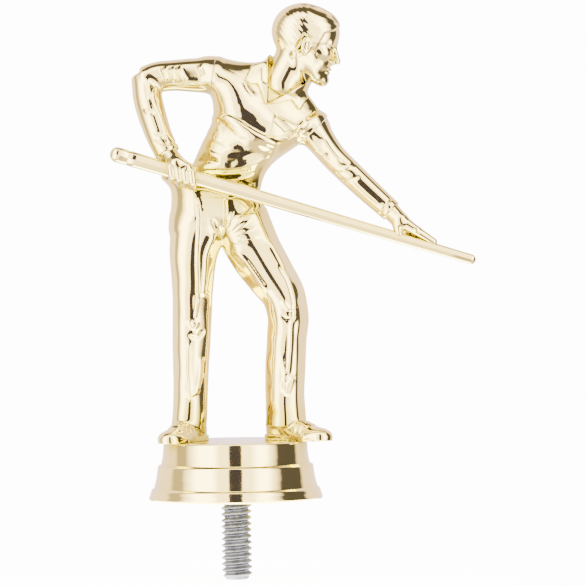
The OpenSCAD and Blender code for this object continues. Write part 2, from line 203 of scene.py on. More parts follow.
def near_line(x, z, pts):
    """(distance, signed distance to the left, share of the length) of points to a polyline."""
    pts = np.asarray(pts, float)
    seg = np.linalg.norm(np.diff(pts, axis=0), axis=1)
    whole, done = seg.sum(), 0.0
    best = np.full(x.shape, 1e9)
    side = np.zeros(x.shape)
    share = np.zeros(x.shape)
    for a, b, n in zip(pts[:-1], pts[1:], seg):
        d = (b - a) / n
        t = np.clip((x - a[0]) * d[0] + (z - a[1]) * d[1], 0, n)
        dx, dz = x - a[0] - d[0] * t, z - a[1] - d[1] * t
        r = np.hypot(dx, dz)
        hit = r < best
        best = np.where(hit, r, best)
        side = np.where(hit, np.sign(d[0] * dz - d[1] * dx) * r, side)
        share = np.where(hit, (done + t) / whole, share)
        done += n
    return best, side, share


def polygon(x, z, pts):
    """Signed distance to a closed outline, below zero inside."""
    pts = np.asarray(pts, float)
    d = np.full(x.shape, 1e9)
    sign = np.ones(x.shape)
    for i in range(len(pts)):
        a, b = pts[i], pts[i - 1]
        e = b - a
        wx, wz = x - a[0], z - a[1]
        t = np.clip((wx * e[0] + wz * e[1]) / (e @ e), 0, 1)
        d = np.minimum(d, (wx - e[0] * t) ** 2 + (wz - e[1] * t) ** 2)
        c1, c2, c3 = z >= a[1], z < b[1], e[0] * wz > e[1] * wx
        sign = np.where((c1 & c2 & c3) | (~c1 & ~c2 & ~c3), -sign, sign)
    return sign * np.sqrt(d)


def smooth_line(pts, n=5):
    """The polyline's own Catmull-Rom curve."""
    p = np.asarray(pts, float)
    if len(p) < 3:
        return p
    q = np.vstack([2 * p[0] - p[1], p, 2 * p[-1] - p[-2]])
    out = []
    for i in range(1, len(q) - 2):
        for t in np.arange(n) / n:
            out.append(0.5 * (2 * q[i] + (q[i + 1] - q[i - 1]) * t
                              + (2 * q[i - 1] - 5 * q[i] + 4 * q[i + 1] - q[i + 2]) * t * t
                              + (3 * q[i] - q[i - 1] - 3 * q[i + 1] + q[i + 2]) * t**3))
    return np.array(out + [p[-1]])


class Outline:
    """A closed outline in (x, z), kept as a smooth grid of signed distance."""

    def __init__(self, pts, soft=2, h=0.2, pad=9.0, round_off=True):
        pts = np.asarray(pts, float)
        if round_off:
            ring = np.vstack([pts, pts[:1]])
            q = np.vstack([pts[-1:], ring, pts[1:2]])
            out = []
            for i in range(1, len(q) - 2):
                for t in np.arange(4) / 4:
                    out.append(0.5 * (2 * q[i] + (q[i + 1] - q[i - 1]) * t
                                      + (2 * q[i - 1] - 5 * q[i] + 4 * q[i + 1] - q[i + 2]) * t * t
                                      + (3 * q[i] - q[i - 1] - 3 * q[i + 1] + q[i + 2]) * t**3))
            pts = np.array(out)
        self.lo, self.h = pts.min(axis=0) - pad, h
        n = np.ceil((pts.max(axis=0) + pad - self.lo) / h).astype(int) + 1
        X, Z = np.meshgrid(self.lo[0] + h * np.arange(n[0]), self.lo[1] + h * np.arange(n[1]), indexing="ij")
        g = polygon(X.ravel(), Z.ravel(), pts).reshape(n)
        for _ in range(soft):
            for ax in (0, 1):
                a = np.pad(g, [(1, 1) if k == ax else (0, 0) for k in (0, 1)], mode="edge")
                g = 0.5 * g + 0.25 * (np.take(a, range(n[ax]), ax) + np.take(a, range(2, n[ax] + 2), ax))
        self.g = g

    def __call__(self, x, z):
        """Cubic B-spline of the grid."""
        out = np.zeros(x.shape)
        N = self.g.shape
        u, v = (x - self.lo[0]) / self.h, (z - self.lo[1]) / self.h
        u, v = np.clip(u, 1, N[0] - 3.001), np.clip(v, 1, N[1] - 3.001)
        i, j = u.astype(int), v.astype(int)
        u, v = u - i, v - j
        wu, wv = (((1 - t) ** 3 / 6, (3 * t**3 - 6 * t**2 + 4) / 6, (-3 * t**3 + 3 * t**2 + 3 * t + 1) / 6,
                   t**3 / 6) for t in (u, v))
        for a in range(4):
            for b in range(4):
                out += wu[a] * wv[b] * self.g[i + a - 1, j + b - 1]
        return out


def bulge(s, y, wide, deep, power):
    """A form with a given outline: full depth inside, rounded off over a border of that width."""
    t = np.maximum(s + wide, 0)
    X, Y = t / wide + 1e-6, np.abs(y) / deep + 1e-6
    k = (X**power + Y**power) ** (1 / power)
    g = np.hypot((X / k) ** (power - 1) / wide, (Y / k) ** (power - 1) / deep)
    return (k - 1) / g


class Fold:
    """A fold or crease drawn on the front (-1) or back (+1) of a form, over (x, z) points.

    height is how far it stands out (or, below zero, in), width its half width. lean pulls the
    crest to one side, so that one flank is steep."""

    def __init__(self, side, pts, width, height, lean=0.0, fade=0.25):
        self.side, self.pts, self.width, self.height = side, smooth_line(pts), width, height
        self.lean, self.fade = lean, fade
        self.lo, self.hi = self.pts.min(axis=0) - 3 * width, self.pts.max(axis=0) + 3 * width

    def add(self, p, d, facing):
        x, z = p[:, 0], p[:, 2]
        m = ((x > self.lo[0]) & (x < self.hi[0]) & (z > self.lo[1]) & (z < self.hi[1])
             & (facing * self.side > -0.35) & (np.abs(d) < 2.5))
        i = np.nonzero(m)[0]
        if not len(i):
            return
        r, s, t = near_line(x[i].astype(float), z[i].astype(float), self.pts)
        w = self.width * (1 + self.lean * np.sign(s) * np.minimum(r / self.width, 1))
        g = np.exp(-((r / w) ** 2))
        if self.fade > 0:
            g *= step(t, 0, self.fade) * step(1 - t, 0, self.fade)
        d[i] -= (self.height * g * step(facing[i] * self.side, -0.35, 0.25)).astype(d.dtype)


def folds(side, rows):
    return [Fold(side, *row) for row in rows]


def rumple(p, scale, seed, stretch=(1, 1, 1)):
    """Smooth noise from a few waves, about -1 to 1."""
    rng = np.random.default_rng(seed)
    q = p.astype(float) / scale * np.asarray(stretch, float)
    out = np.zeros(len(p))
    for _ in range(5):
        k = rng.normal(size=3)
        k *= rng.uniform(0.7, 1.5) * 2 * np.pi / np.linalg.norm(k) * 0.5
        out += np.sin(q @ k + rng.uniform(0, 6.28)
                      + 1.3 * np.sin(q @ rng.normal(size=3) + rng.uniform(0, 6.28)))
    return out / 3


# ------------------------------------------------------------------ from a field to a mesh


def sample(f, lo, hi, h, c=4):
    """The field on a fine grid, worked out only near the surface."""
    lo, hi = np.asarray(lo, float), np.asarray(hi, float)
    n = np.ceil((hi - lo) / (h * c)).astype(int) + 1
    ax = [lo[i] + h * c * np.arange(n[i]) for i in range(3)]
    g = np.stack(np.meshgrid(*ax, indexing="ij"), axis=-1).reshape(-1, 3).astype(np.float32)
    coarse = f(g).reshape(n)
    near = np.abs(coarse) < 2.3 * h * c
    act = np.zeros(n - 1, bool)
    for i in (0, 1):
        for j in (0, 1):
            for k in (0, 1):
                act |= near[i:n[0] - 1 + i, j:n[1] - 1 + j, k:n[2] - 1 + k]
    fine = act.repeat(c, 0).repeat(c, 1).repeat(c, 2)
    N = (n - 1) * c + 1
    mask = np.zeros(N, bool)
    for i in (0, 1):
        for j in (0, 1):
            for k in (0, 1):
                mask[i:N[0] - 1 + i, j:N[1] - 1 + j, k:N[2] - 1 + k] |= fine
    idx = [np.minimum(np.arange(N[i]) // c, n[i] - 1) for i in range(3)]
    D = coarse[np.ix_(*idx)].astype(np.float32)
    where = np.argwhere(mask)
    for s in range(0, len(where), 400000):
        w = where[s:s + 400000]
        D[w[:, 0], w[:, 1], w[:, 2]] = f((lo + w * h).astype(np.float32))
    return D


def surface(D, lo, h):
    """Surface nets: one vertex in each cell that the surface crosses."""
    N = D.shape
    S = D < 0
    C = tuple(v - 1 for v in N)
    total = C[0] * C[1] * C[2]
    at = lambda i, j, k: (i * C[1] + j) * C[2] + k
    sums, cnt, quads = np.zeros((3, total)), np.zeros(total), []
    for ax in range(3):
        a = [slice(None)] * 3
        b = [slice(None)] * 3
        a[ax], b[ax] = slice(0, -1), slice(1, None)
        cross = S[tuple(a)] != S[tuple(b)]
        e = np.argwhere(cross)
        o1, o2 = [v for v in range(3) if v != ax]
        e = e[(e[:, o1] > 0) & (e[:, o1] < N[o1] - 1) & (e[:, o2] > 0) & (e[:, o2] < N[o2] - 1)]
        d0 = D[e[:, 0], e[:, 1], e[:, 2]].astype(float)
        f = e.copy()
        f[:, ax] += 1
        d1 = D[f[:, 0], f[:, 1], f[:, 2]].astype(float)
        pos = e.astype(float)
        pos[:, ax] += d0 / (d0 - d1)
        cells = []
        for u, v in ((-1, -1), (0, -1), (0, 0), (-1, 0)):
            q = e.copy()
            q[:, o1] += u
            q[:, o2] += v
            cells.append(at(q[:, 0], q[:, 1], q[:, 2]))
            for k in range(3):
                sums[k] += np.bincount(cells[-1], pos[:, k], total)
            cnt += np.bincount(cells[-1], minlength=total)
        quad = np.stack(cells, axis=1)
        flip = (d0 < 0) == (ax == 1)
        quad[flip] = quad[flip][:, ::-1]
        quads.append(quad)
    used = np.nonzero(cnt)[0]
    V = (sums[:, used] / cnt[used]).T * h + np.asarray(lo)
    lookup = np.full(total, -1)
    lookup[used] = np.arange(len(used))
    return V, lookup[np.vstack(quads)]


def slope(f, V, e=0.02):
    g = np.empty_like(V)
    for k in range(3):
        o = np.zeros(3)
        o[k] = e
        g[:, k] = (f(V + o) - f(V - o)) / (2 * e)
    return g


def sculpt(f, lo, hi, h):
    h = h * COARSE
    D = sample(f, lo, hi, h)
    V, Q = surface(D, lo, h)
    for _ in range(2):
        g = slope(f, V)
        d = f(V)
        n2 = np.maximum((g * g).sum(axis=1), 0.2)
        V -= g * (np.clip(d, -h, h) / n2)[:, None]
    g = slope(f, V)
    return V, Q, g / np.linalg.norm(g, axis=1)[:, None]


def new_object(name, V, F, normals=None, loops=None):
    me = bpy.data.meshes.new(name)
    me.from_pydata((np.asarray(V) * MM).tolist(), [], F.tolist() if isinstance(F, np.ndarray) else F)
    me.polygons.foreach_set("use_smooth", [True] * len(me.polygons))
    if normals is not None:
        me.normals_split_custom_set_from_vertices(normals.tolist())
    if loops is not None:
        me.normals_split_custom_set(loops)
    me.update()
    o = bpy.data.objects.new(name, me)
    bpy.context.scene.collection.objects.link(o)
    return o


def halves(name_f, name_b, V, Q, f, gap):
    """Cuts a sculpted mesh at y = 0 into a front and a back shell with closed, flat faces."""
    out = []
    for name, sign in ((name_f, -1), (name_b, 1)):
        me = bpy.data.meshes.new(name)
        me.from_pydata(V.tolist(), [], Q.tolist())
        bm = bmesh.new()
        bm.from_mesh(me)
        bmesh.ops.bisect_plane(bm, geom=bm.verts[:] + bm.edges[:] + bm.faces[:], dist=1e-5,
                               plane_co=(0, sign * gap, 0), plane_no=(0, -sign, 0), clear_outer=True)
        rim = [e for e in bm.edges if e.is_boundary]
        bmesh.ops.holes_fill(bm, edges=rim, sides=0)
        bmesh.ops.triangulate(bm, faces=[x for x in bm.faces if len(x.verts) > 4])
        bm.to_mesh(me)
        bm.free()
        co = np.empty(len(me.vertices) * 3)
        me.vertices.foreach_get("co", co)
        co = co.reshape(-1, 3)
        g = slope(f, co)
        g /= np.maximum(np.linalg.norm(g, axis=1)[:, None], 1e-9)
        vi = np.empty(len(me.loops), int)
        me.loops.foreach_get("vertex_index", vi)
        ln = g[vi]
        flat = np.array([abs(q.normal[1]) > 0.999 and abs(q.center[1]) < gap + 1e-3 for q in me.polygons])
        tot = np.array([q.loop_total for q in me.polygons])
        ln[np.repeat(flat, tot)] = (0, -sign, 0)
        me.transform(Matrix.Scale(MM, 4))
        me.polygons.foreach_set("use_smooth", [True] * len(me.polygons))
        me.normals_split_custom_set(ln.tolist())
        o = bpy.data.objects.new(name, me)
        bpy.context.scene.collection.objects.link(o)
        out.append(o)
    return out


# ------------------------------------------------------------------ the figure's stations, as in the CAD

DECK_Z = 12.0
NECK, NECK_TOP, NECK_R = vec(11.4, 0, 86.4), vec(13.7, 0, 90.8), 4.3
HEAD, HEAD_H, HEAD_PITCH = vec(15.9, 0, 93.3), 15.8, 15.0
R_KNEE, L_KNEE = vec(-8.5, -0.3, 38), vec(11.1, -1.8, 38)
R_ANKLE, L_ANKLE = vec(-9.4, 0.6, 16.5), vec(10.4, 0.6, 16.5)
R_SOLE, L_SOLE, R_TURN, L_TURN = vec(-10.6, -2.6, 12), vec(13, -2, 12), -115.5, -42.0
SHOE_L, SHOE_W = 17.0, 6.4
R_SHOULDER, R_ELBOW, R_WRIST = vec(-3.5, 0, 87.2), vec(-17.4, 0.3, 86.2), vec(-13, -5.8, 71.4)
L_SHOULDER, L_ELBOW, L_WRIST = vec(17, -0.5, 75.6), vec(24.4, -3, 66.6), vec(32.5, -5.4, 58.9)
R_IN, L_IN = unit([1, 0, -0.17]), unit([-0.66, 0, 0.75])
CUE_BUTT, CUE_TIP, CUE_R = vec(-23.1, -7.6, 71.1), vec(48.7, -7.6, 48.8), (1.6, 1.05)
CUE_WAY = unit(CUE_TIP - CUE_BUTT)
BOSS_R, BOSS_Z, SHANK_R = 8.0, 2.5, 2.8
THREAD_R, THREAD_PITCH, THREAD_ROOT = 3.175, 1.27, 2.45
BOLT_SEAT, BOLT_HEAD, BOLT_AF = 5.7, 4.0, 11.1
FLAT_TURN, FLAT_DEPTH = math.radians(20), 0.93


def cue_at(x):
    return CUE_BUTT + CUE_WAY * ((x - CUE_BUTT[0]) / CUE_WAY[0])


shirt = Outline([
    (11.4, 89.3), (8.6, 90.2), (5.4, 89.6), (2.1, 89.9), (-0.8, 90.6), (-2.8, 90.8), (-5.6, 90.6),
    (-6.4, 88.0),
    (-5.6, 85.0), (-4.2, 83.6), (-3.6, 81.1), (-3.6, 78.4), (-4.5, 75.9), (-5.8, 73.5), (-7.0, 70.8),
    (-8.2, 68.6), (-10.4, 67.4), (-14.4, 66.6), (-13.4, 65.2), (-12.4, 63.6), (-12.4, 60.0), (-12.9, 57.2),
    (-12.6, 54.6), (-8.8, 53.0), (-4.2, 53.2), (-2.2, 54.0), (0.6, 53.4), (3.8, 53.0), (6.2, 54.2),
    (7.3, 56.9), (6.7, 60.2), (6.2, 62.6), (6.3, 64.6),
    (7.0, 66.5), (8.4, 68.5), (10.4, 70.2), (12.5, 71.7), (14.4, 73.0), (17.2, 74.2), (19.6, 75.6),
    (19.4, 77.6), (18.2, 79.6), (16.9, 81.6), (15.7, 83.5), (14.9, 84.9), (13.5, 87.6)], soft=6)
FRONT_DEEP = np.array([(44, 5.2), (49, 6.0), (53, 5.7), (57, 5.4), (62, 6.2), (67, 7.0), (71, 6.8), (74, 5.8),
                       (76.3, 4.7), (79, 4.2), (84, 3.8)])
BACK_DEEP = np.array([(44, 5.6), (49, 6.3), (53, 5.6), (57, 5.2), (62, 5.6), (67, 6.3), (71, 6.4), (74, 5.8),
                      (76.3, 4.9), (79, 4.4), (84, 4.0)])


def smooth_table(t, w):
    """A table read through a soft window, so that it has no corners."""
    v = 0
    for o, k in ((-2.4, 0.1), (-1.2, 0.22), (0, 0.36), (1.2, 0.22), (2.4, 0.1)):
        v = v + k * np.interp(w + o, t[:, 0], t[:, 1])
    return v


def trunk(p):
    x, y, z = p.astype(float).T
    s = shirt(x, z)
    w = 0.866 * z + 0.5 * x
    middle = np.interp(z, (72, 75.6, 78.9, 81.4, 86), (9.4, 6.2, 2.6, 0.2, -0.6))
    turned = 0.022 * np.clip(x - middle, -6, 7) ** 2 * step(z, 70, 77)
    turned = turned + 0.14 * np.clip(x + 4.2, -3.5, 3.5) * step(z, 55.5, 58) * step(-z, -68, -64)
    deep = np.where(y < 0, smooth_table(FRONT_DEEP, w) - turned, smooth_table(BACK_DEEP, w))
    return bulge(s, y, np.interp(w, (66, 80), (6.8, 6.4)), deep, 2.15)


right_leg = Pressed([
    ((-6.6, 0.2, 57), 6, 5.9), ((-8.1, -0.2, 51), 4.9, 5.5), ((-8.4, -0.4, 44.5), 4.15, 5.2),
    (R_KNEE, 3.9, 4.9), ((-8.8, 0, 31), 3.75, 4.8), ((-9, 0.3, 24), 3.65, 4.5),
    (R_ANKLE, 3.55, 4.2), (R_ANKLE - vec(0.2, 0, 1.6), 3.55, 4.2)], (-64, -19, 13, 42, 98, 145, 215, 262),
    end=(0.8, 0.3))
left_leg = Pressed([
    ((1.8, 0.2, 57), 5.6, 5.9), ((4.6, -0.1, 51), 5.2, 5.5), ((7.8, -0.6, 45.6), 4.7, 5.2),
    ((10.3, -1.2, 41.4), 4.2, 5), (L_KNEE, 4, 4.9), ((10.8, -1.1, 33), 3.85, 4.7),
    ((10.5, -0.5, 27), 3.85, 4.5), ((10.3, 0, 21), 3.75, 4.3), (L_ANKLE, 3.9, 4.3),
    (L_ANKLE - vec(0, 0, 1.4), 4, 4.3)], (-98, -50, -14, 16, 62, 112, 150, 210), crisp=22, end=(0.8, 0.3))
right_sleeve = Tube([
    (R_SHOULDER + R_IN * 1.0, 3.75, 3.9), ((-7.5, 0, 87.2), 3.5, 3.5),
    ((-11.5, 0.1, 87.2), 3.2, 3.3), ((-15, 0.3, 86.9), 3.15, 3.1), (R_ELBOW + vec(0.2, 0, 0.1), 3.0, 3.0)])
right_forearm = Tube([
    (R_ELBOW + vec(0, 0.2, 0.3), 2.9, 2.9), ((-16.9, -1.1, 82.4), 3, 3), ((-15.9, -2.9, 78.6), 2.9, 2.8),
    ((-14.6, -4.6, 74.8), 2.7, 2.6), (R_WRIST, 2.6, 2.4)], end=(0.8, 0.25))
left_sleeve = Tube([
    (L_SHOULDER + L_IN * 1.0, 3.8, 4), ((18.4, -1.1, 73.5), 3.1, 3.3), ((20.8, -1.9, 70.3), 2.75, 3),
    (L_ELBOW, 2.65, 2.7), ((28.3, -4.2, 62.8), 2.5, 2.5), (L_WRIST, 2.3, 2.35)], end=(0.8, 0.25))


def shoe(p, sole, turn):
    """A lace-up shoe, its toe along its own +X."""
    c, s = math.cos(math.radians(turn)), math.sin(math.radians(turn))
    q = (p - sole.astype(p.dtype)) @ np.array([[c, -s, 0], [s, c, 0], [0, 0, 1]], p.dtype)
    heel, toe, half = -SHOE_L / 2, SHOE_L / 2, SHOE_W / 2
    x, y, z = q.T
    # sole: a waisted outline, extruded, with a welt
    plan = smin(bone(q * (1, 1, 0), (heel + 2.7, 0, 0), 2.7, (0, 0, 0), 2.3),
                bone(q * (1, 1, 0), (toe - half - 1.2, 0, 0), half, (toe - 2.5, 0, 0), 2.5), 1.2)
    base = smax(plan, np.abs(z - 0.35) - 0.75, 0.25)
    heel_z = smax(plan, np.abs(z - 0.3) - 0.9, 0.2)
    base = np.where(x < heel + 4.6, np.minimum(base, heel_z), base)
    # upper: heel cup, instep up to the trouser hem, vamp and toe cap
    up = oval(q, (heel + 3, 0, 2.2), (2.75, 2.4, 3.6))
    up = smin(up, bone(q, (heel + 4.2, 0, 4.2), 2.5, (heel + 6.5, 0, 3.2), 2.5), 1.0)
    up = smin(up, oval(q, (0.6, 0, 1.6), (4.4, 2.65, 2.6)), 1.0)
    up = smin(up, oval(q, (toe - half - 1.2, 0, 0.9), (half + 1.1, half - 0.15, 1.95)), 1.0)
    up = smin(up, oval(q, (toe - 2.6, 0, 0.9), (2.5, 2.3, 1.6)), 0.8)
    up = smax(up, 0.25 - z, 0.2)
    # creases across the vamp, toe cap seam and laces
    wave = np.sin((x - 0.25 * np.abs(y)) * 4.2) * np.exp(-((x - 2.6) / 1.6) ** 2) * step(z, 1.0, 2.2)
    up = up - 0.1 * wave
    up = up + 0.12 * np.exp(-((x - (toe - 4.4) + 0.06 * y * y) / 0.22) ** 2) * step(z, 0.8, 1.4)
    lace = np.cos(np.clip((x + 1.4) * 4.6, -9, 9)) * np.exp(-((x + 0.9) / 1.3) ** 2) * np.exp(-(y / 1.0) ** 2)
    up = up - 0.09 * lace * step(z, 2, 3)
    return smin(up, base, 0.25)


LEAF_L = Outline([(4.6, 89.2), (3.2, 86.2), (4.0, 85.3), (5.7, 85.3), (6.7, 82.9), (7.3, 80.9), (7.55, 81.2),
                  (7.8, 86), (7.9, 90)], soft=1, h=0.12, pad=2, round_off=False)
LEAF_R = Outline([(7.5, 80.9), (14.9, 84.9), (15.9, 82.4), (14.2, 79.8), (12.6, 81.9)], soft=1, h=0.12, pad=2,
                 round_off=False)
THROAT = Outline([(7.6, 81.2), (7.9, 91), (13.5, 91), (15.6, 85.2)], soft=1, h=0.12, pad=2, round_off=False)
POCKET = Outline([(9.3, 78.7), (14.0, 76.4), (11.9, 74.0), (7.4, 74.5)], soft=1, h=0.12, pad=2,
                 round_off=False)

body_folds = folds(-1, [
    # shirt: the big fold out of the armpit, the folds that gather at the waist, small ones at the collar
    ([(-4.2, 77.8), (-1.4, 78.3), (1.5, 77.0), (5.2, 74.6), (10.2, 72.2)], 1.3, 0.75, -0.6, 0.08),
    ([(-8.2, 67.6), (-4, 68.2), (1, 68.2), (6, 69.3), (10.2, 71.6)], 0.9, 0.5, 0.3, 0.15),
    ([(-8.6, 66.4), (-4, 66.6), (1, 66.8), (5.6, 67.4)], 0.55, -0.4, 0.0, 0.2),
    ([(-6.4, 72.4), (-3.0, 70.6), (1.5, 70.2), (5.0, 70.6)], 0.8, 0.34, -0.3, 0.3),
    ([(-5.2, 74.6), (-2.6, 73.8), (0.2, 72.2), (2.8, 71.8)], 0.7, 0.26, 0.3, 0.3),
    ([(-7.8, 69.4), (-5, 69.6), (-2, 69.0)], 0.45, -0.22, 0.0, 0.3),
    ([(-2.4, 88.0), (-1.3, 85.6), (0.5, 82.0), (2.4, 79.0), (5.2, 76.2)], 1.7, -0.2, 0.0, 0.2),
    ([(2.6, 86.4), (3.6, 84.2), (5.4, 82.2)], 0.5, 0.2, 0.2, 0.3),
    ([(13.6, 75.2), (15.2, 76.0), (16.8, 77.6)], 0.5, 0.22, 0.2, 0.3),
    ([(11.6, 73.2), (13.4, 74.6), (14.4, 76.6)], 0.45, 0.18, 0.2, 0.3),
    ([(-0.8, 75.3), (3.6, 74.0), (0.2, 72.2), (-4.6, 68.8)], 1.8, 0.3, 0.0, 0.2),
    # belt line
    ([(-11.0, 64.6), (-4, 64.4), (2, 64.0), (6.8, 63.6)], 0.28, -0.12, 0.0, 0.03),
    ([(-11.0, 62.6), (-4, 62.3), (2, 61.9), (6.8, 61.5)], 0.22, -0.06, 0.0, 0.03),
    # trousers: fly, fine folds out of the crotch, side seam, knees, hems
    ([(-1.2, 62.0), (-1.2, 58.0), (-1.9, 54.2)], 0.24, -0.28, 0.0, 0.1),
    *[([(-2.0 + 0.25 * r, 53.4 + 0.25 * h), (-2.0 + 0.55 * r, 53.4 + 0.52 * h), (-2.0 + r, 53.4 + h)],
       0.3, 0.14, 0.2, 0.3)
      for r, h in ((2.4, 6.2), (4.6, 5.2), (6.6, 4.6), (8.0, 2.8), (8.4, 0.4), (6.4, -1.6))],
    ([(-3.0, 54.55), (-3.48, 55.7), (-4.2, 58.0)], 0.36, 0.2, -0.2, 0.3),
    ([(-7.2, 62.6), (-6.7, 58), (-7.2, 50), (-7.2, 42.0), (-7.9, 36.6)], 0.26, 0.26, 0.0, 0.08),
    ([(9.3, 48.4), (11.3, 45.5), (12.6, 41), (12.6, 37.5), (11.9, 35.8), (11.7, 31.7), (11, 24.5)],
     0.45, 0.36, 0.0, 0.1),
    ([(7.3, 54.0), (9.3, 50.4), (11.3, 46.7), (13.2, 43.7), (14.0, 40.2)], 0.8, 0.4, 0.0, 0.2),
    ([(-3.1, 55.6), (-5.2, 50.7), (-5.5, 47.5), (-5.9, 43.5), (-6.4, 41.0)], 1.3, 0.62, 0.0, 0.15),
    ([(-0.2, 51.4), (2.6, 49.0), (5.6, 44.6), (7.2, 42.4)], 0.5, 0.42, 0.3, 0.2),
    ([(-9.4, 37.2), (-8.2, 35.4), (-7.0, 36.8)], 0.45, 0.26, 0.2, 0.25),
    ([(-9.6, 34.4), (-7.6, 33.4), (-5.8, 35.2)], 0.4, -0.26, 0.0, 0.3),
    ([(-9.2, 33), (-9.4, 27), (-9.0, 20)], 0.4, 0.2, 0.4, 0.15),
    ([(-6.6, 30), (-6.9, 26), (-7.6, 22)], 0.45, 0.2, -0.3, 0.3),
    ([(9.8, 41.0), (11.6, 39.0), (13.2, 39.8)], 0.45, 0.22, 0.2, 0.25),
    ([(9.4, 38.0), (11.4, 37.0), (13.4, 38.0)], 0.4, -0.22, 0.0, 0.3),
    ([(12.4, 26.2), (11.0, 21.8), (10.2, 23.6), (12.6, 25.2)], 0.35, 0.2, 0.2, 0.2),
    ([(9.4, 30.6), (10.4, 26.0), (9.8, 21.6)], 0.5, 0.2, 0.3, 0.3),
    ([(-10.6, 22.4), (-9.0, 21.6), (-6.8, 22.8)], 0.45, 0.18, 0.2, 0.3)]) + folds(1, [
    # back of the shirt and trousers
    ([(-5.5, 76), (0, 73.4), (5, 70.8)], 1.0, 0.5, 0.3, 0.2),
    ([(-7.5, 71), (-2, 69.4), (5, 69.0)], 0.9, 0.45, -0.3, 0.2),
    ([(-9, 67.6), (-2, 67.0), (6, 67.4)], 0.7, 0.4, 0.3, 0.12),
    ([(0, 86.5), (7.5, 83.2), (15, 80.4)], 0.3, -0.2, 0.0, 0.08),
    ([(4, 82), (4.6, 77), (3.6, 72)], 1.2, 0.3, 0.2, 0.3),
    ([(-11.0, 64.6), (-4, 64.4), (2, 64.0), (6.8, 63.6)], 0.28, -0.3, 0.0, 0.03),
    ([(-11.0, 62.6), (-4, 62.3), (2, 61.9), (6.8, 61.5)], 0.22, -0.16, 0.0, 0.03),
    ([(-2.2, 62), (-2.4, 57), (-2.4, 51.5)], 0.5, -0.7, 0.0, 0.2),
    ([(-3.0, 51.6), (-6.5, 51.2), (-10.5, 52.6)], 0.8, 0.45, 0.2, 0.25),
    ([(-1.6, 51.4), (2.6, 50.6), (6.4, 52.0)], 0.8, 0.45, -0.2, 0.25),
    ([(-11.2, 40.4), (-8.6, 39.0), (-6.2, 40.2)], 0.7, 0.4, 0.2, 0.25),
    ([(-11.2, 37.6), (-8.6, 36.4), (-6.2, 37.4)], 0.6, 0.35, 0.2, 0.25),
    ([(8.2, 41.0), (11, 39.2), (14, 40.8)], 0.7, 0.4, 0.2, 0.25),
    ([(8.2, 37.8), (11, 36.4), (14, 37.6)], 0.6, 0.35, 0.2, 0.25),
    ([(7.6, 22.6), (10.4, 21.0), (13.2, 22.8)], 0.6, 0.35, 0.2, 0.25),
    ([(-11.8, 22.6), (-9.0, 21.0), (-6.2, 22.4)], 0.6, 0.35, 0.2, 0.25)])


def clothed(p):
    """The trunk with both sleeves: the body keeps one side of each armhole, the arms the other."""
    d = trunk(p)
    d = smin(d, right_sleeve(p), 1.3)
    d = smin(d, left_sleeve(p), 1.6)
    return d


def armholes(p):
    """Below zero in the space that belongs to the right and the left arm."""
    x, z = p[:, 0], p[:, 2]
    r = (p - R_SHOULDER.astype(p.dtype)) @ R_IN.astype(p.dtype)
    l = (p - L_SHOULDER.astype(p.dtype)) @ L_IN.astype(p.dtype)
    low = 82.6 + 0.7 * np.minimum(x + 5, 0) - z
    return np.maximum(r, low), np.maximum(np.maximum(l, 13.8 - x), 45 - z)


def body(p):
    x, y, z = p.T
    d = clothed(p)
    # seat
    d = smin(d, oval(p, (-7.6, 3.0, 56.6), (4.6, 4.4, 5.4)), 1.6)
    d = smin(d, oval(p, (2.2, 3.0, 57.0), (4.4, 4.4, 5.2)), 1.6)
    legs = smin(right_leg(p), left_leg(p), 0.3)
    d = smin(d, legs, 0.9)
    facing = np.sign(y) * np.minimum(np.abs(y) / 2.0, 1)
    near = np.nonzero(np.abs(d) < 2.2)[0]
    if len(near):
        q = p[near].astype(float)
        lump = 0.13 * rumple(q, 6.0, 11, (1, 1, 0.7)) + 0.03 * rumple(q, 2.2, 12, (1, 1, 0.6))
        d[near] -= (lump * step(z[near], 15.5, 20)).astype(d.dtype)
        f = near[(y[near] < 0.5) & (z[near] > 72)]
        u, w = x[f].astype(float), z[f].astype(float)
        fr = step(-y[f], -0.5, 1.0)
        rise = 0.6 * step(-LEAF_L(u, w), -0.1, 0.1) + 0.55 * step(-LEAF_R(u, w), -0.1, 0.1) \
            - 0.6 * step(-THROAT(u, w), -0.1, 0.25)
        pk = POCKET(u, w)
        rise += 0.12 * step(-pk, -0.1, 0.1) - 0.16 * np.exp(-((pk / 0.16) ** 2))
        flap = near_line(u, w, [(8.9, 77.6), (11.2, 75.4), (13.5, 75.6)])[0]
        rise -= 0.12 * np.exp(-((flap / 0.15) ** 2)) * (pk < 0)
        d[f] -= (rise * fr).astype(d.dtype)
    for fo in body_folds:
        fo.add(p, d, facing)
    d = smin(d, shoe(p, R_SOLE, R_TURN), 0.35)
    d = smin(d, shoe(p, L_SOLE, L_TURN), 0.35)
    d = np.maximum(d, DECK_Z - z)
    # collar band round the neck, open in front
    n = unit(NECK_TOP - NECK).astype(p.dtype)
    q = p - NECK.astype(p.dtype)
    w = q @ n
    ring = np.abs(np.linalg.norm(q - w[:, None] * n, axis=1) - (NECK_R + 0.55)) - 0.4
    ring = smax(ring, np.abs(w - 0.2) - 2.6, 0.4)
    gap = -THROAT(x.astype(float), z.astype(float))
    ring = np.where(y < 0, smax(ring, gap, 0.2), ring).astype(d.dtype)
    d = smin(d, ring, 0.7)
    r, l = armholes(p)
    d = smax(d, -r, 0.14)
    return smax(d, -l, 0.14)


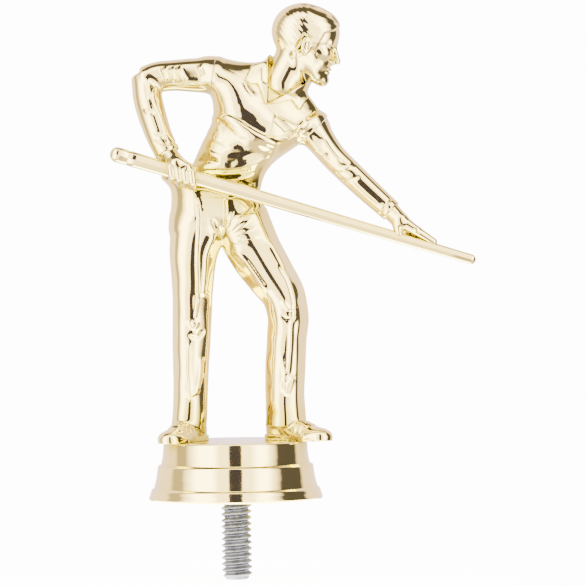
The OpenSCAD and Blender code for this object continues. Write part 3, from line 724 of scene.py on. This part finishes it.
def head(p):
    a = math.radians(HEAD_PITCH)
    turn = np.array([[math.cos(a), 0, -math.sin(a)], [0, 1, 0], [math.sin(a), 0, math.cos(a)]], p.dtype)
    q = (p - HEAD.astype(p.dtype)) @ turn.T / HEAD_H
    x, y, z = q.T
    m = np.stack([x, np.abs(y), z], axis=1)
    d = oval(q, (-0.07, 0, 0.13), (0.40, 0.325, 0.36))
    d = smin(d, oval(q, (0.14, 0, 0.17), (0.245, 0.26, 0.26)), 0.1)
    d = smin(d, oval(q, (0.13, 0, -0.14), (0.24, 0.22, 0.3)), 0.08)
    d = smin(d, bone(m, (-0.02, 0.2, -0.18), 0.07, (0.2, 0.09, -0.39), 0.07), 0.08)
    d = smin(d, oval(q, (0.27, 0, -0.395), (0.1, 0.1, 0.085)), 0.08)
    d = smin(d, oval(m, (0.22, 0.155, -0.06), (0.11, 0.08, 0.08)), 0.06)
    d = smin(d, bone(m, (0.335, 0.02, 0.09), 0.045, (0.29, 0.16, 0.08), 0.04), 0.05)
    d = smax(d, -oval(m, (0.415, 0.11, 0.0), (0.09, 0.075, 0.055)), 0.06)
    eye = ball(m, (0.275, 0.11, 0.005), 0.072)
    lid = ball(m, (0.275, 0.11, 0.005), 0.082)
    lid = smax(lid, -bone(m, (0.37, 0.04, -0.003), 0.022, (0.33, 0.17, -0.008), 0.014), 0.012)
    d = smin(d, np.minimum(eye, lid), 0.012)
    nose = bone(q, (0.35, 0, 0.05), 0.03, (0.44, 0, -0.125), 0.04)
    nose = smin(nose, bone(m, (0.37, 0.0, -0.15), 0.05, (0.395, 0.042, -0.155), 0.032), 0.03)
    d = smin(d, nose, 0.035)
    d = smax(d, -bone(m, (0.43, 0.02, -0.19), 0.012, (0.40, 0.03, -0.185), 0.012), 0.012)
    lips = smin(oval(q, (0.345, 0, -0.252), (0.05, 0.085, 0.022)),
                oval(q, (0.335, 0, -0.302), (0.05, 0.075, 0.026)), 0.01)
    d = smin(d, lips, 0.03)
    d = smax(d, -bone(m, (0.40, 0.0, -0.277), 0.006, (0.345, 0.085, -0.277), 0.005), 0.012)
    d = smin(d, ball(q, (0.315, 0, -0.41), 0.075), 0.05)
    # hair: a cap of one thickness inside a given hairline, with combed strands
    side = [(0.37, 0.33), (0.30, 0.25), (0.19, 0.19), (0.15, 0.05), (0.12, -0.09), (0.045, -0.09),
            (0.04, 0.075), (-0.07, 0.11), (-0.12, -0.02), (-0.14, -0.2), (-0.2, -0.31), (-0.6, -0.33),
            (-0.6, 0.6), (0.45, 0.6)]
    s = polygon(x.astype(float), z.astype(float), side)
    cover = step(-s, -0.012, 0.02)
    strand = np.sin((z * 1.0 + x * 0.35 - 0.5 * x * x) * 95 + 3 * np.sin(x * 9 + 2)) * 0.5 \
        + np.sin((z * 1.2 + x * 0.3) * 41 + 2 * np.sin(x * 6)) * 0.5
    part = np.exp(-(((y + 0.13) / 0.014) ** 2)) * step(z, 0.3, 0.42) * step(x, -0.25, -0.1)
    d = d - cover * (0.028 + 0.0014 * strand - 0.014 * part)
    # ears
    ex, ey, ez = 0.0, 0.315, -0.03
    tilt = axes_of((1, -0.35, 0.0), (-0.2, 0, 1))
    ear = oval(m, (ex, ey, ez), (0.07, 0.028, 0.11), tilt)
    ear = smin(ear, oval(m, (ex + 0.005, ey - 0.012, ez - 0.085), (0.035, 0.026, 0.045), tilt), 0.02)
    bowl = oval(m, (ex + 0.012, ey + 0.035, ez + 0.005), (0.043, 0.032, 0.075), tilt)
    ear = smax(ear, -bowl, 0.012)
    d = smin(d, ear, 0.012) * HEAD_H
    # neck
    n = unit(NECK_TOP - NECK)
    neck = bone(p, NECK - n * 1.2, NECK_R, NECK_TOP + n * 1.2, NECK_R - 0.15)
    for sy in (-1, 1):
        neck = smin(neck, bone(p, vec(13.6, sy * 4.2, 90.9), 0.9, vec(14.2, sy * 1.6, 85.4), 0.8), 1.0)
    neck = smin(neck, ball(p, vec(17.2, 0, 88.2), 0.9), 1.2)
    d = smin(d, neck, 1.0)
    return smax(d, -((p - (NECK - n * 3.4).astype(p.dtype)) @ n.astype(p.dtype)), 0.2)


def cue_field(p, more=0.0):
    return bone(p, CUE_BUTT, CUE_R[0] + more, CUE_TIP, CUE_R[1] + more)


right_folds = folds(-1, [
    ([(-14.0, 88.8), (-13.4, 87.4), (-13.2, 86.0)], 0.5, 0.5, 0.3, 0.2),
    ([(-12.4, 88.8), (-11.8, 87.4), (-11.3, 85.8)], 0.5, 0.5, 0.3, 0.2),
    ([(-11.0, 88.9), (-10.2, 87.2), (-9.3, 85.6)], 0.5, 0.5, 0.3, 0.2),
    ([(-6.6, 89.2), (-6.1, 88.0), (-5.6, 86.8)], 0.45, 0.4, 0.3, 0.25),
    ([(-11.0, 86.4), (-7.8, 86.0), (-4.2, 85.6)], 0.35, 0.26, 0.3, 0.2),
    ([(-17.2, 86.8), (-16.6, 84.6), (-16.4, 82.0)], 0.45, 0.26, 0.3, 0.25),
    ([(-15.0, 85.2), (-15.6, 82.4), (-14.0, 78.4), (-12.6, 73.2)], 0.45, 0.3, 0.3, 0.15),
    ([(-17.8, 80.6), (-16.6, 79.4), (-15.2, 80.0)], 0.4, 0.2, 0.2, 0.3),
    ([(-15.8, 76.0), (-14.4, 74.6), (-12.8, 75.4)], 0.35, 0.2, 0.2, 0.3),
    ([(-15.6, 73.9), (-13.4, 73.0), (-10.8, 73.6)], 0.22, -0.22, 0.0, 0.05)]) + folds(1, [
    ([(-17.0, 88.0), (-14.6, 86.0), (-14.0, 83.6)], 0.6, 0.3, 0.2, 0.3),
    ([(-12.6, 89.0), (-11.4, 86.8), (-11.6, 84.6)], 0.6, 0.3, 0.2, 0.3),
    ([(-19.0, 84.0), (-16.8, 82.4), (-14.8, 82.8)], 0.5, 0.25, 0.2, 0.3)])
left_folds = folds(-1, [
    ([(15.0, 75.0), (17.4, 71.8), (20.4, 68.2)], 0.45, 0.26, 0.3, 0.25),
    ([(18.6, 74.4), (20.4, 71.4), (22.8, 68.4)], 0.45, 0.24, -0.3, 0.25),
    ([(16.4, 71.8), (18.2, 70.6), (20.2, 70.8)], 0.4, 0.26, 0.2, 0.3),
    ([(20.4, 67.8), (22.6, 67.4), (25.6, 68.4)], 0.4, 0.24, 0.2, 0.3),
    ([(21.8, 65.8), (23.8, 65.2), (26.6, 66.2)], 0.4, -0.2, 0.0, 0.3),
    ([(24.6, 65.6), (27.6, 62.6), (30.6, 60.0)], 0.4, 0.2, 0.3, 0.2),
    ([(30.2, 58.0), (31.2, 59.6), (32.6, 61.2)], 0.22, -0.22, 0.0, 0.05)]) + folds(1, [
    ([(17.0, 74.6), (18.6, 72.0), (20.0, 72.2)], 0.6, 0.3, 0.2, 0.3),
    ([(20.6, 68.0), (22.8, 66.6), (26.0, 68.0)], 0.5, 0.25, 0.2, 0.3),
    ([(22.0, 65.4), (24.2, 64.6), (27.0, 65.8)], 0.5, 0.25, 0.2, 0.3)])


def right_arm(p):
    d = smax(clothed(p), armholes(p)[0] + 0.03, 0.14)
    d = smin(d, right_forearm(p), 0.8)
    facing = np.sign(p[:, 1] + 2) * np.minimum(np.abs(p[:, 1] + 2) / 1.5, 1)
    for fo in right_folds:
        fo.add(p, d, facing)
    palm = cue_at(R_WRIST[0] + 2.4)
    hand = chain(p, [R_WRIST, palm + vec(-0.4, -0.8, 1.6)], [2.0, 1.9], 0.5)
    hand = smin(hand, bone(p, palm + vec(-0.4, -0.8, 1.6), 1.9, palm + vec(1.6, -1.4, 0.9), 1.4), 0.5)
    hand = smin(hand, bone(p, R_WRIST, 1.8, palm + vec(-0.4, 1.6, 0.4), 1.3), 0.6)
    for i in range(4):
        c = cue_at(palm[0] - 1.6 + 1.4 * i)
        fg = chain(p, [c + vec(0, -1.9, 0.9), c + vec(0.2, -1.7, -1), c + vec(0.2, 0.4, -2.1)],
                   [0.85, 0.8, 0.75], 0.15)
        hand = smin(hand, fg, 0.18)
    hand = smin(hand, bone(p, palm + vec(-0.4, 1.6, 0.4), 1.1, palm + vec(3, 1.5, 0.6), 0.9), 0.4)
    d = smin(d, hand, 0.3)
    return smax(d, -cue_field(p, 0.02), 0.06)


def left_arm(p):
    d = clothed(p)
    facing = np.sign(p[:, 1] + 3) * np.minimum(np.abs(p[:, 1] + 3) / 1.5, 1)
    for fo in left_folds:
        fo.add(p, d, facing)
    d = smax(d, armholes(p)[1] + 0.03, 0.14)
    tip = cue_at(L_WRIST[0] + 8.6)
    root = L_WRIST + vec(1.9, -1.4, -2.1)
    hand = bone(p, L_WRIST, 1.9, root, 1.8)
    pointer = chain(p, [root, tip + vec(-3.4, -0.2, 3.6), tip + vec(0, 0, 1.3)], [1.6, 1.0, 0.8], 0.3)
    hand = smin(hand, pointer, 0.5)
    hand = smin(hand, bone(p, root + vec(-0.6, 0, 0), 1.3, tip + vec(-7, -0.3, 3), 0.9), 0.3)
    for i in range(3):
        k = tip + vec(-5 + 1.6 * i, 1.7, 3.4 - 0.9 * i)
        hand = smin(hand, chain(p, [root + vec(0, 0.8, 0), k, tip + vec(-4.6 + 1.6 * i, 1.9, 1.3 - 0.5 * i)],
                                [1.3, 0.9, 0.75], 0.2), 0.2)
    d = smin(d, hand, 0.3)
    return smax(d, -cue_field(p, 0.02), 0.06)


# ------------------------------------------------------------------ materials


def links(tree, *pairs):
    for a, b in pairs:
        tree.links.new(a, b)


def ramp(nodes, stops):
    n = nodes.new("ShaderNodeValToRGB")
    e = n.color_ramp.elements
    while len(e) > 1:
        e.remove(e[-1])
    for i, (pos, col) in enumerate(stops):
        s = e[0] if i == 0 else e.new(pos)
        s.position, s.color = pos, (*col, 1)
    return n


def new_node(tree, kind, **values):
    """A shader node with some of its inputs set; an underscore stands for a space in an input's name."""
    n = tree.nodes.new("ShaderNode" + kind)
    for name, v in values.items():
        n.inputs[name.replace("_", " ")].default_value = v
    return n


def mixed(tree, factor, a, b):
    """The colour that goes from a to b with the factor."""
    n = new_node(tree, "Mix")
    n.data_type = "RGBA"
    for v, socket in ((factor, n.inputs["Factor"]), (a, n.inputs[6]), (b, n.inputs[7])):
        if isinstance(v, tuple):
            socket.default_value = v
        else:
            tree.links.new(v, socket)
    return n.outputs[2]


# deep, when given, is the colour of painted shade mixed into the recesses
def metal(name, light, dark, rough, wear, coat, peel, peel_scale, tint_scale, deep=None):
    m = bpy.data.materials.new(name)
    m.use_nodes = True
    t = m.node_tree
    b = t.nodes["Principled BSDF"]
    for socket, v in (("Metallic", 1.0), ("Coat Weight", coat), ("Coat Roughness", 0.06), ("IOR", 1.5)):
        b.inputs[socket].default_value = v
    place = new_node(t, "TexCoord").outputs["Object"]
    # slow change of tint over the plating
    tint = new_node(t, "TexNoise", Scale=tint_scale, Detail=3)
    tints = ramp(t.nodes, [(0.35, dark), (0.65, light)])
    colour = tints.outputs["Color"]
    if deep:
        # painted shade: a darker, yellower colour mixed in where ambient occlusion finds recesses, fitted to
        # the photograph
        hidden = new_node(t, "AmbientOcclusion", Distance=0.012)
        hidden.samples = 8
        painted_shade_amount = new_node(t, "MapRange", From_Min=0.96, From_Max=0.58)
        t.links.new(hidden.outputs["AO"], painted_shade_amount.inputs["Value"])
        colour = mixed(t, painted_shade_amount.outputs["Result"], colour, (*deep, 1))
    # patchy gloss: mostly mirror, a little hazier where it has been handled
    patch = new_node(t, "TexNoise", Scale=tint_scale * 2.3, Detail=5)
    gloss = new_node(t, "MapRange", From_Min=0.35, From_Max=0.75, To_Min=rough, To_Max=wear)
    # orange peel
    skin = new_node(t, "TexNoise", Scale=peel_scale, Detail=2)
    bump = new_node(t, "Bump", Strength=1.0, Distance=peel)
    links(t, (place, tint.inputs["Vector"]), (tint.outputs["Fac"], tints.inputs["Fac"]),
          (colour, b.inputs["Base Color"]),
          (place, patch.inputs["Vector"]), (patch.outputs["Fac"], gloss.inputs["Value"]),
          (gloss.outputs["Result"], b.inputs["Roughness"]),
          (place, skin.inputs["Vector"]), (skin.outputs["Fac"], bump.inputs["Height"]),
          (bump.outputs["Normal"], b.inputs["Normal"]))
    return m


# the darker, yellower colour of the painted shade in the recesses
PAINTED_SHADE = (0.62, 0.55, 0.004)
gold = metal("gold_plate", (0.955, 0.833, 0.245), (0.94, 0.815, 0.215), 0.05, 0.09, 0.1, 3e-6, 900, 60,
             deep=PAINTED_SHADE)
zinc = metal("zinc_plate", (0.21, 0.22, 0.225), (0.11, 0.112, 0.115), 0.34, 0.5, 0.0, 3e-5, 3500, 500)

# ------------------------------------------------------------------ the pieces


def finish_piece(o, node, mat):
    o.data.materials.clear()
    o.data.materials.append(mat)
    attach(o, "root")
    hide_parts(node)
    return o


V, Q, Nn = sculpt(body, (-17, -14, 11.5), (23, 11, 90.5), 0.21)
for o, node in zip(halves("figure_front_shell", "figure_back_shell", V, Q, body, 0.012),
                   ("body_front", "body_back")):
    finish_piece(o, node, gold)
V, Q, Nn = sculpt(head, (4, -7, 81), (27, 7, 103), 0.12)
finish_piece(new_object("figure_head", V, Q, Nn), "head", gold)
V, Q, Nn = sculpt(right_arm, (-22.5, -12, 61.5), (-1, 5, 92), 0.14)
finish_piece(new_object("figure_right_arm", V, Q, Nn), "right_arm", gold)
V, Q, Nn = sculpt(left_arm, (12, -12, 48), (45, 5, 81), 0.13)
finish_piece(new_object("figure_left_arm", V, Q, Nn), "left_arm", gold)


def filleted(points, steps=5):
    """An outline of (r, z, fillet) corners as plain points, each corner rounded by its own radius."""
    out = []
    for i, (r, z, f) in enumerate(points):
        c = np.array([r, z], float)
        if f == 0 or i in (0, len(points) - 1):
            out.append(c)
            continue
        a, b = np.array(points[i - 1][:2], float) - c, np.array(points[i + 1][:2], float) - c
        la, lb = np.linalg.norm(a), np.linalg.norm(b)
        a, b = a / la, b / lb
        half = math.acos(np.clip(a @ b, -1, 1)) / 2
        reach = min(f / math.tan(half), 0.48 * la, 0.48 * lb)
        mid = unit(a + b)
        centre = c + mid * reach / math.cos(half)
        p, q = c + a * reach - centre, c + b * reach - centre
        turn = math.atan2(p[0] * q[1] - p[1] * q[0], p @ q)
        for k in range(steps + 1):
            t = turn * k / steps
            out.append(centre + (p[0] * math.cos(t) - p[1] * math.sin(t),
                                 p[0] * math.sin(t) + p[1] * math.cos(t)))
    return out


def lathe(bm, outline, count, centre=(0, 0), way=(0, 0, 1), start=(0, 0, 0)):
    """A closed turned form: its outline runs between two points on the axis, or closes on itself."""
    turn = Vector((0, 0, 1)).rotation_difference(Vector(way)).to_matrix()
    base = Vector((centre[0], centre[1], 0)) + Vector(start)
    rings = []
    for r, z in outline:
        spots = count if r > 1e-6 else 1
        rings.append([bm.verts.new((base + turn @ Vector((r * math.cos(2 * math.pi * k / count),
                                                          r * math.sin(2 * math.pi * k / count), z))) * MM)
                      for k in range(spots)])
    closed = outline[0][0] > 1e-6
    for i in range(len(rings) - (0 if closed else 1)):
        a, b = rings[i], rings[(i + 1) % len(rings)]
        for k in range(count):
            j = (k + 1) % count
            if len(a) == 1:
                bm.faces.new((a[0], b[j], b[k]))
            elif len(b) == 1:
                bm.faces.new((a[k], a[j], b[0]))
            else:
                bm.faces.new((a[k], a[j], b[j], b[k]))


def block(bm, centre, size, turn, round_off):
    """A box with rounded edges, turned about Z."""
    made = bmesh.ops.create_cube(bm, size=1.0)["verts"]
    bmesh.ops.scale(bm, vec=Vector(size) * MM, verts=made)
    edges = list({e for v in made for e in v.link_edges})
    bevel = bmesh.ops.bevel(bm, geom=edges, offset=round_off * MM, segments=2, affect="EDGES", profile=0.5)
    made = list({v for f in bevel["faces"] for v in f.verts} | {v for v in made if v.is_valid})
    bmesh.ops.rotate(bm, verts=made, cent=(0, 0, 0), matrix=Matrix.Rotation(turn, 3, "Z"))
    spot = Matrix.Rotation(turn, 3, "Z") @ Vector((centre[0], centre[1], 0))
    bmesh.ops.translate(bm, verts=made, vec=(spot + Vector((0, 0, centre[2]))) * MM)


def from_bmesh(name, bm, sharp=35):
    bmesh.ops.recalc_face_normals(bm, faces=bm.faces)
    me = bpy.data.meshes.new(name)
    bm.to_mesh(me)
    bm.free()
    me.shade_smooth()
    me.set_sharp_from_angle(angle=math.radians(sharp))
    o = bpy.data.objects.new(name, me)
    bpy.context.scene.collection.objects.link(o)
    return o


def pedestal():
    """A hollow three-tier casting: turned wall, boss round the stud, six ribs, sockets for the dowels."""
    bm = bmesh.new()
    lathe(bm, filleted([
        (0, DECK_Z, 0), (14.8, DECK_Z, 0.45), (14.85, 10.4, 3), (15.0, 8.9, 3), (15.32, 7.35, 0.35),
        (15.98, 7.1, 0.5), (16.08, 6.2, 3), (16.35, 4.4, 4), (16.85, 2.5, 0.35), (17.35, 2.2, 0.5),
        (17.55, 1.4, 2), (17.95, 0.4, 0.4), (17.7, 0, 0.3), (16.3, 0, 0.2), (15.9, 1.4, 0.5),
        (15.2, 2.6, 0.6), (14.4, 6.0, 1.0), (13.3, 7.4, 0.6), (13.2, 10.4, 0.6), (0, 10.4, 0)]), 256)
    lathe(bm, filleted([(SHANK_R, BOSS_Z, 0.3), (BOSS_R - 0.4, BOSS_Z, 0.5), (BOSS_R, 6.5, 2),
                        (BOSS_R + 0.2, 11, 0.4), (SHANK_R, 11, 0.2)]), 96)
    for i in range(6):
        block(bm, (BOSS_R + 2.6, 0, 7.6), (6.4, 1.2, 6.8), math.radians(30 + 60 * i), 0.25)
    for x, y in ((R_SOLE[0] + 0.8, R_SOLE[1] + 0.2), (L_SOLE[0] - 3, L_SOLE[1] + 1.2)):
        lathe(bm, filleted([(0, 6.6, 0), (2.0, 6.6, 0.4), (2.2, 11, 0.3), (0, 11, 0)]), 48, (x, y))
    return from_bmesh("pedestal_casting", bm)


def thread_profile(phase):
    """Height of the thread, 0 to 1, over one turn."""
    t = np.abs((phase % 1) - 0.5) * 2
    return np.clip((t - 0.10) / 0.78, 0, 1)


def stud():
    """A rolled 1/4-20 screw: helical thread with a chamfered end, plain shank and hexagon head."""
    bm = bmesh.new()
    count = 96
    z = np.linspace(cad_lo.z / MM, 1.0, 420 if COARSE == 1 else 210)
    rings = []
    for zz in z:
        a = 2 * np.pi * np.arange(count) / count
        h = thread_profile((zz / THREAD_PITCH) - a / (2 * np.pi))
        h = h * step(np.full(count, 0.9 - zz), 0, 0.8)
        r = THREAD_ROOT + (THREAD_R - THREAD_ROOT) * h
        r = np.minimum(r, THREAD_ROOT - 0.25 + 0.9 * (zz - z[0]))
        r = r - 0.02 * (1 + np.sin(3 * a + 2.1 * zz) * np.sin(5 * zz + a))
        rings.append([bm.verts.new((float(x) * MM, float(y) * MM, float(zz) * MM))
                      for x, y in zip(r * np.cos(a), r * np.sin(a))])
    for a, b in zip(rings[:-1], rings[1:]):
        for k in range(count):
            j = (k + 1) % count
            bm.faces.new((a[k], a[j], b[j], b[k]))
    bm.faces.new(rings[0][::-1])
    bm.faces.new(rings[-1])
    top = BOLT_SEAT + 0.2
    lathe(bm, filleted([(0, 0.6, 0), (SHANK_R, 0.6, 0.1), (SHANK_R, top, 0.1), (0, top, 0)]), 64)
    corner = BOLT_AF / 2 / math.cos(math.pi / 6) * MM
    head = bmesh.ops.create_cone(bm, cap_ends=True, segments=6, radius1=corner, radius2=corner,
                                 depth=BOLT_HEAD * MM)["verts"]
    bmesh.ops.rotate(bm, verts=head, cent=(0, 0, 0), matrix=Matrix.Rotation(math.radians(30), 3, "Z"))
    bmesh.ops.translate(bm, verts=head, vec=(0, 0, (BOLT_SEAT + BOLT_HEAD / 2) * MM))
    bmesh.ops.bevel(bm, geom=list({e for v in head for e in v.link_edges}), offset=0.12 * MM, segments=2,
                    affect="EDGES", profile=0.5)
    return from_bmesh("stud_screw", bm, 50)


def cue():
    """One tapered stick, domed at both ends, with a shallow groove behind the butt cap."""
    bm = bmesh.new()
    length = float(np.linalg.norm(CUE_TIP - CUE_BUTT))
    radius = lambda t: CUE_R[0] + (CUE_R[1] - CUE_R[0]) * t / length
    pts = [(radius(0) * math.sin(math.pi / 2 * k / 10), -radius(0) * math.cos(math.pi / 2 * k / 10))
           for k in range(11)]
    groove = [(2.0, 0), (2.15, -0.1), (2.35, -0.1), (2.5, 0)]
    pts += [(radius(t) + bump, t) for t, bump in
            groove + [(4 + k * (length - 6) / 24, 0) for k in range(24)]]
    pts += [(radius(length) * math.cos(math.pi / 2 * k / 8),
             length + radius(length) * math.sin(math.pi / 2 * k / 8)) for k in range(9)]
    pts[0], pts[-1] = (0, pts[0][1]), (0, pts[-1][1])
    lathe(bm, pts, 64, way=CUE_WAY, start=CUE_BUTT)
    # two slight flats that meet in a ridge in front, and two behind, inferred from the photo's reflections
    up = np.cross(CUE_WAY, [0, 1, 0])
    up /= np.linalg.norm(up)
    for v in bm.verts:
        q = np.array(v.co[:]) / MM - CUE_BUTT
        along = q @ CUE_WAY
        out = q - along * CUE_WAY
        size = np.linalg.norm(out)
        if size > 1e-6:
            lean = abs(math.atan2(abs(out @ up), abs(out[1])) - FLAT_TURN)
            k = min(1, FLAT_DEPTH / math.cos(lean))
            v.co = ((CUE_BUTT + along * CUE_WAY + out * k) * MM).tolist()
    return from_bmesh("cue_stick", bm)


finish_piece(pedestal(), "pedestal", gold)
finish_piece(cue(), "cue", gold)
finish_piece(stud(), "stud", zinc)

# ------------------------------------------------------------------ floor, light and camera

FLOOR_R, FLOOR_DROP, FLOOR_GLOW = 0.06, 0.0004, 12.0
LEVEL = 14.0                                  # brightness of the plain background that the camera sees
bpy.ops.mesh.primitive_circle_add(vertices=128, radius=FLOOR_R, fill_type="NGON",
                                  location=(0, 0, cad_lo.z - FLOOR_DROP))
floor = bpy.context.object
floor.name = "floor"
fm = bpy.data.materials.new("floor")
fm.use_nodes = True
fb = fm.node_tree.nodes["Principled BSDF"]
for socket, value in (("Base Color", (0.9, 0.9, 0.9, 1)), ("Roughness", 0.9),
                      ("Emission Color", (1, 1, 1, 1)), ("Emission Strength", FLOOR_GLOW)):
    fb.inputs[socket].default_value = value
floor.data.materials.append(fm)

world = bpy.data.worlds.new("tent")
bpy.context.scene.world = world
world.use_nodes = True
wt = world.node_tree
WN = wt.nodes


def math_node(op, a, b=None, clamp=False):
    n = WN.new("ShaderNodeMath")
    n.operation = op
    n.use_clamp = clamp
    for i, v in enumerate((a, b)):
        if v is None:
            continue
        if isinstance(v, (int, float)):
            n.inputs[i].default_value = v
        else:
            wt.links.new(v, n.inputs[i])
    return n.outputs[0]


def soft_step(value, lo, hi):
    n = new_node(wt, "MapRange", From_Min=lo, From_Max=hi)
    n.interpolation_type = "SMOOTHSTEP"
    wt.links.new(value, n.inputs["Value"])
    return n.outputs[0]


def window(value, lo, hi, soft):
    return math_node("MULTIPLY", soft_step(value, lo - soft, lo), soft_step(value, hi + soft, hi))


GAP_TURN, GAP_EDGE = (math.radians(-9), math.radians(9.5)), math.radians(1.5)
GAP_RISE = math.tan(math.radians(-45)), math.tan(math.radians(56))
GAP_COLOUR = (0.10, 0.083, 0.19, 1)
tc = WN.new("ShaderNodeTexCoord")
sep = WN.new("ShaderNodeSeparateXYZ")
wt.links.new(tc.outputs["Generated"], sep.inputs[0])
dx, dy, dz = sep.outputs
az = math_node("ARCTAN2", dx, math_node("MULTIPLY", dy, -1.0))

# brightness and warmth of the tent by the angle from the camera's side, then the gaps between its panels
side = ramp(WN, [
    (0.000, (3.1, 2.33, 2.58)), (0.190, (3.2, 2.46, 2.67)), (0.215, (1.2, 0.967, 1.02)),
    (0.262, (1.2, 0.967, 1.02)), (0.278, (3.4, 2.77, 3.03)), (0.305, (6.5, 5.64, 6.14)),
    (0.335, (12, 10.7, 12.5)), (0.40, (12, 10.7, 12.5)), (0.43, (5.6, 4.74, 4.98)),
    (0.5285, (5.6, 4.74, 4.98)), (0.57, (5.8, 4.92, 5.16)), (0.605, (12, 10.7, 12.5)),
    (0.635, (12, 10.7, 12.5)), (0.66, (6, 5.19, 5.52)), (0.688, (2.2, 1.79, 1.87)),
    (0.700, (0.145, 0.125, 0.196)), (0.805, (0.145, 0.125, 0.196)), (0.825, (2.8, 2.15, 2.4)),
    (1.000, (3.1, 2.33, 2.58))])
pos = math_node("ADD", math_node("MULTIPLY", az, 1 / (2 * math.pi)), 0.5)
wt.links.new(pos, side.inputs["Fac"])
bg = WN["Background"]
# overhead: one wide soft panel in front, a dark gap straight above, the backdrop's glow behind
up = math_node("DIVIDE", dz, math_node("MAXIMUM", math_node("SQRT", math_node("ADD", math_node(
    "MULTIPLY", dx, dx), math_node("MULTIPLY", dy, dy))), 0.0001))
arch = math_node("ARCTAN2", dz, math_node("MULTIPLY", dy, -1.0))      # 0 at the camera, 90 degrees overhead
top = ramp(WN, [
    (0.00, (5.6, 4.74, 4.98)), (0.28, (5.6, 4.74, 4.98)), (0.34, (8, 6.98, 7.48)), (0.40, (8, 6.98, 7.48)),
    (0.44, (4, 3.31, 3.56)), (0.455, (0.16, 0.134, 0.196)), (0.60, (0.16, 0.134, 0.196)),
    (0.63, (2.2, 1.7, 1.87)), (1.0, (3.1, 2.33, 2.58))])
wt.links.new(math_node("MULTIPLY", arch, 1 / math.pi), top.inputs["Fac"])
tent = mixed(wt, soft_step(up, 0.9, 1.5), side.outputs["Color"], top.outputs["Color"])
# a narrow dark gap between the two front panels
gap = math_node("MULTIPLY", window(az, *GAP_TURN, GAP_EDGE), window(up, *GAP_RISE, 0.1))
tent = mixed(wt, gap, tent, GAP_COLOUR)
# below: the table under the tent, warm and dim
tent = mixed(wt, soft_step(math_node("MULTIPLY", up, -1.0), 0.45, 1.1), tent, (2.0, 1.6, 1.7, 1))
wt.links.new(tent, bg.inputs["Color"])
bg.inputs["Strength"].default_value = 1.0
plain = new_node(wt, "Background", Color=(1, 1, 1, 1), Strength=LEVEL)
lp = WN.new("ShaderNodeLightPath")
mix = WN.new("ShaderNodeMixShader")
links(wt, (lp.outputs["Is Camera Ray"], mix.inputs[0]), (bg.outputs[0], mix.inputs[1]),
      (plain.outputs[0], mix.inputs[2]), (mix.outputs[0], WN["World Output"].inputs["Surface"]))

# a long lens from a little above, in mm, fitted to the photograph
LENS, ROLL = 359, math.radians(-0.8)
EYE_AWAY, EYE_Z, AIM_X, AIM_Z = 1200, 75, 12.3, 42.2
cam = bpy.data.cameras.new("camera")
cam.sensor_width, cam.lens = 36, LENS
camera = bpy.data.objects.new("camera", cam)
bpy.context.scene.collection.objects.link(camera)
eye, aim = Vector((AIM_X, -EYE_AWAY, EYE_Z)) * MM, Vector((AIM_X, 0, AIM_Z)) * MM
look = (aim - eye).to_track_quat("-Z", "Y").to_matrix().to_4x4()
camera.matrix_world = Matrix.Translation(eye) @ look @ Matrix.Rotation(ROLL, 4, "Z")
cam.clip_start, cam.clip_end = 0.01, 100
bpy.context.scene.camera = camera
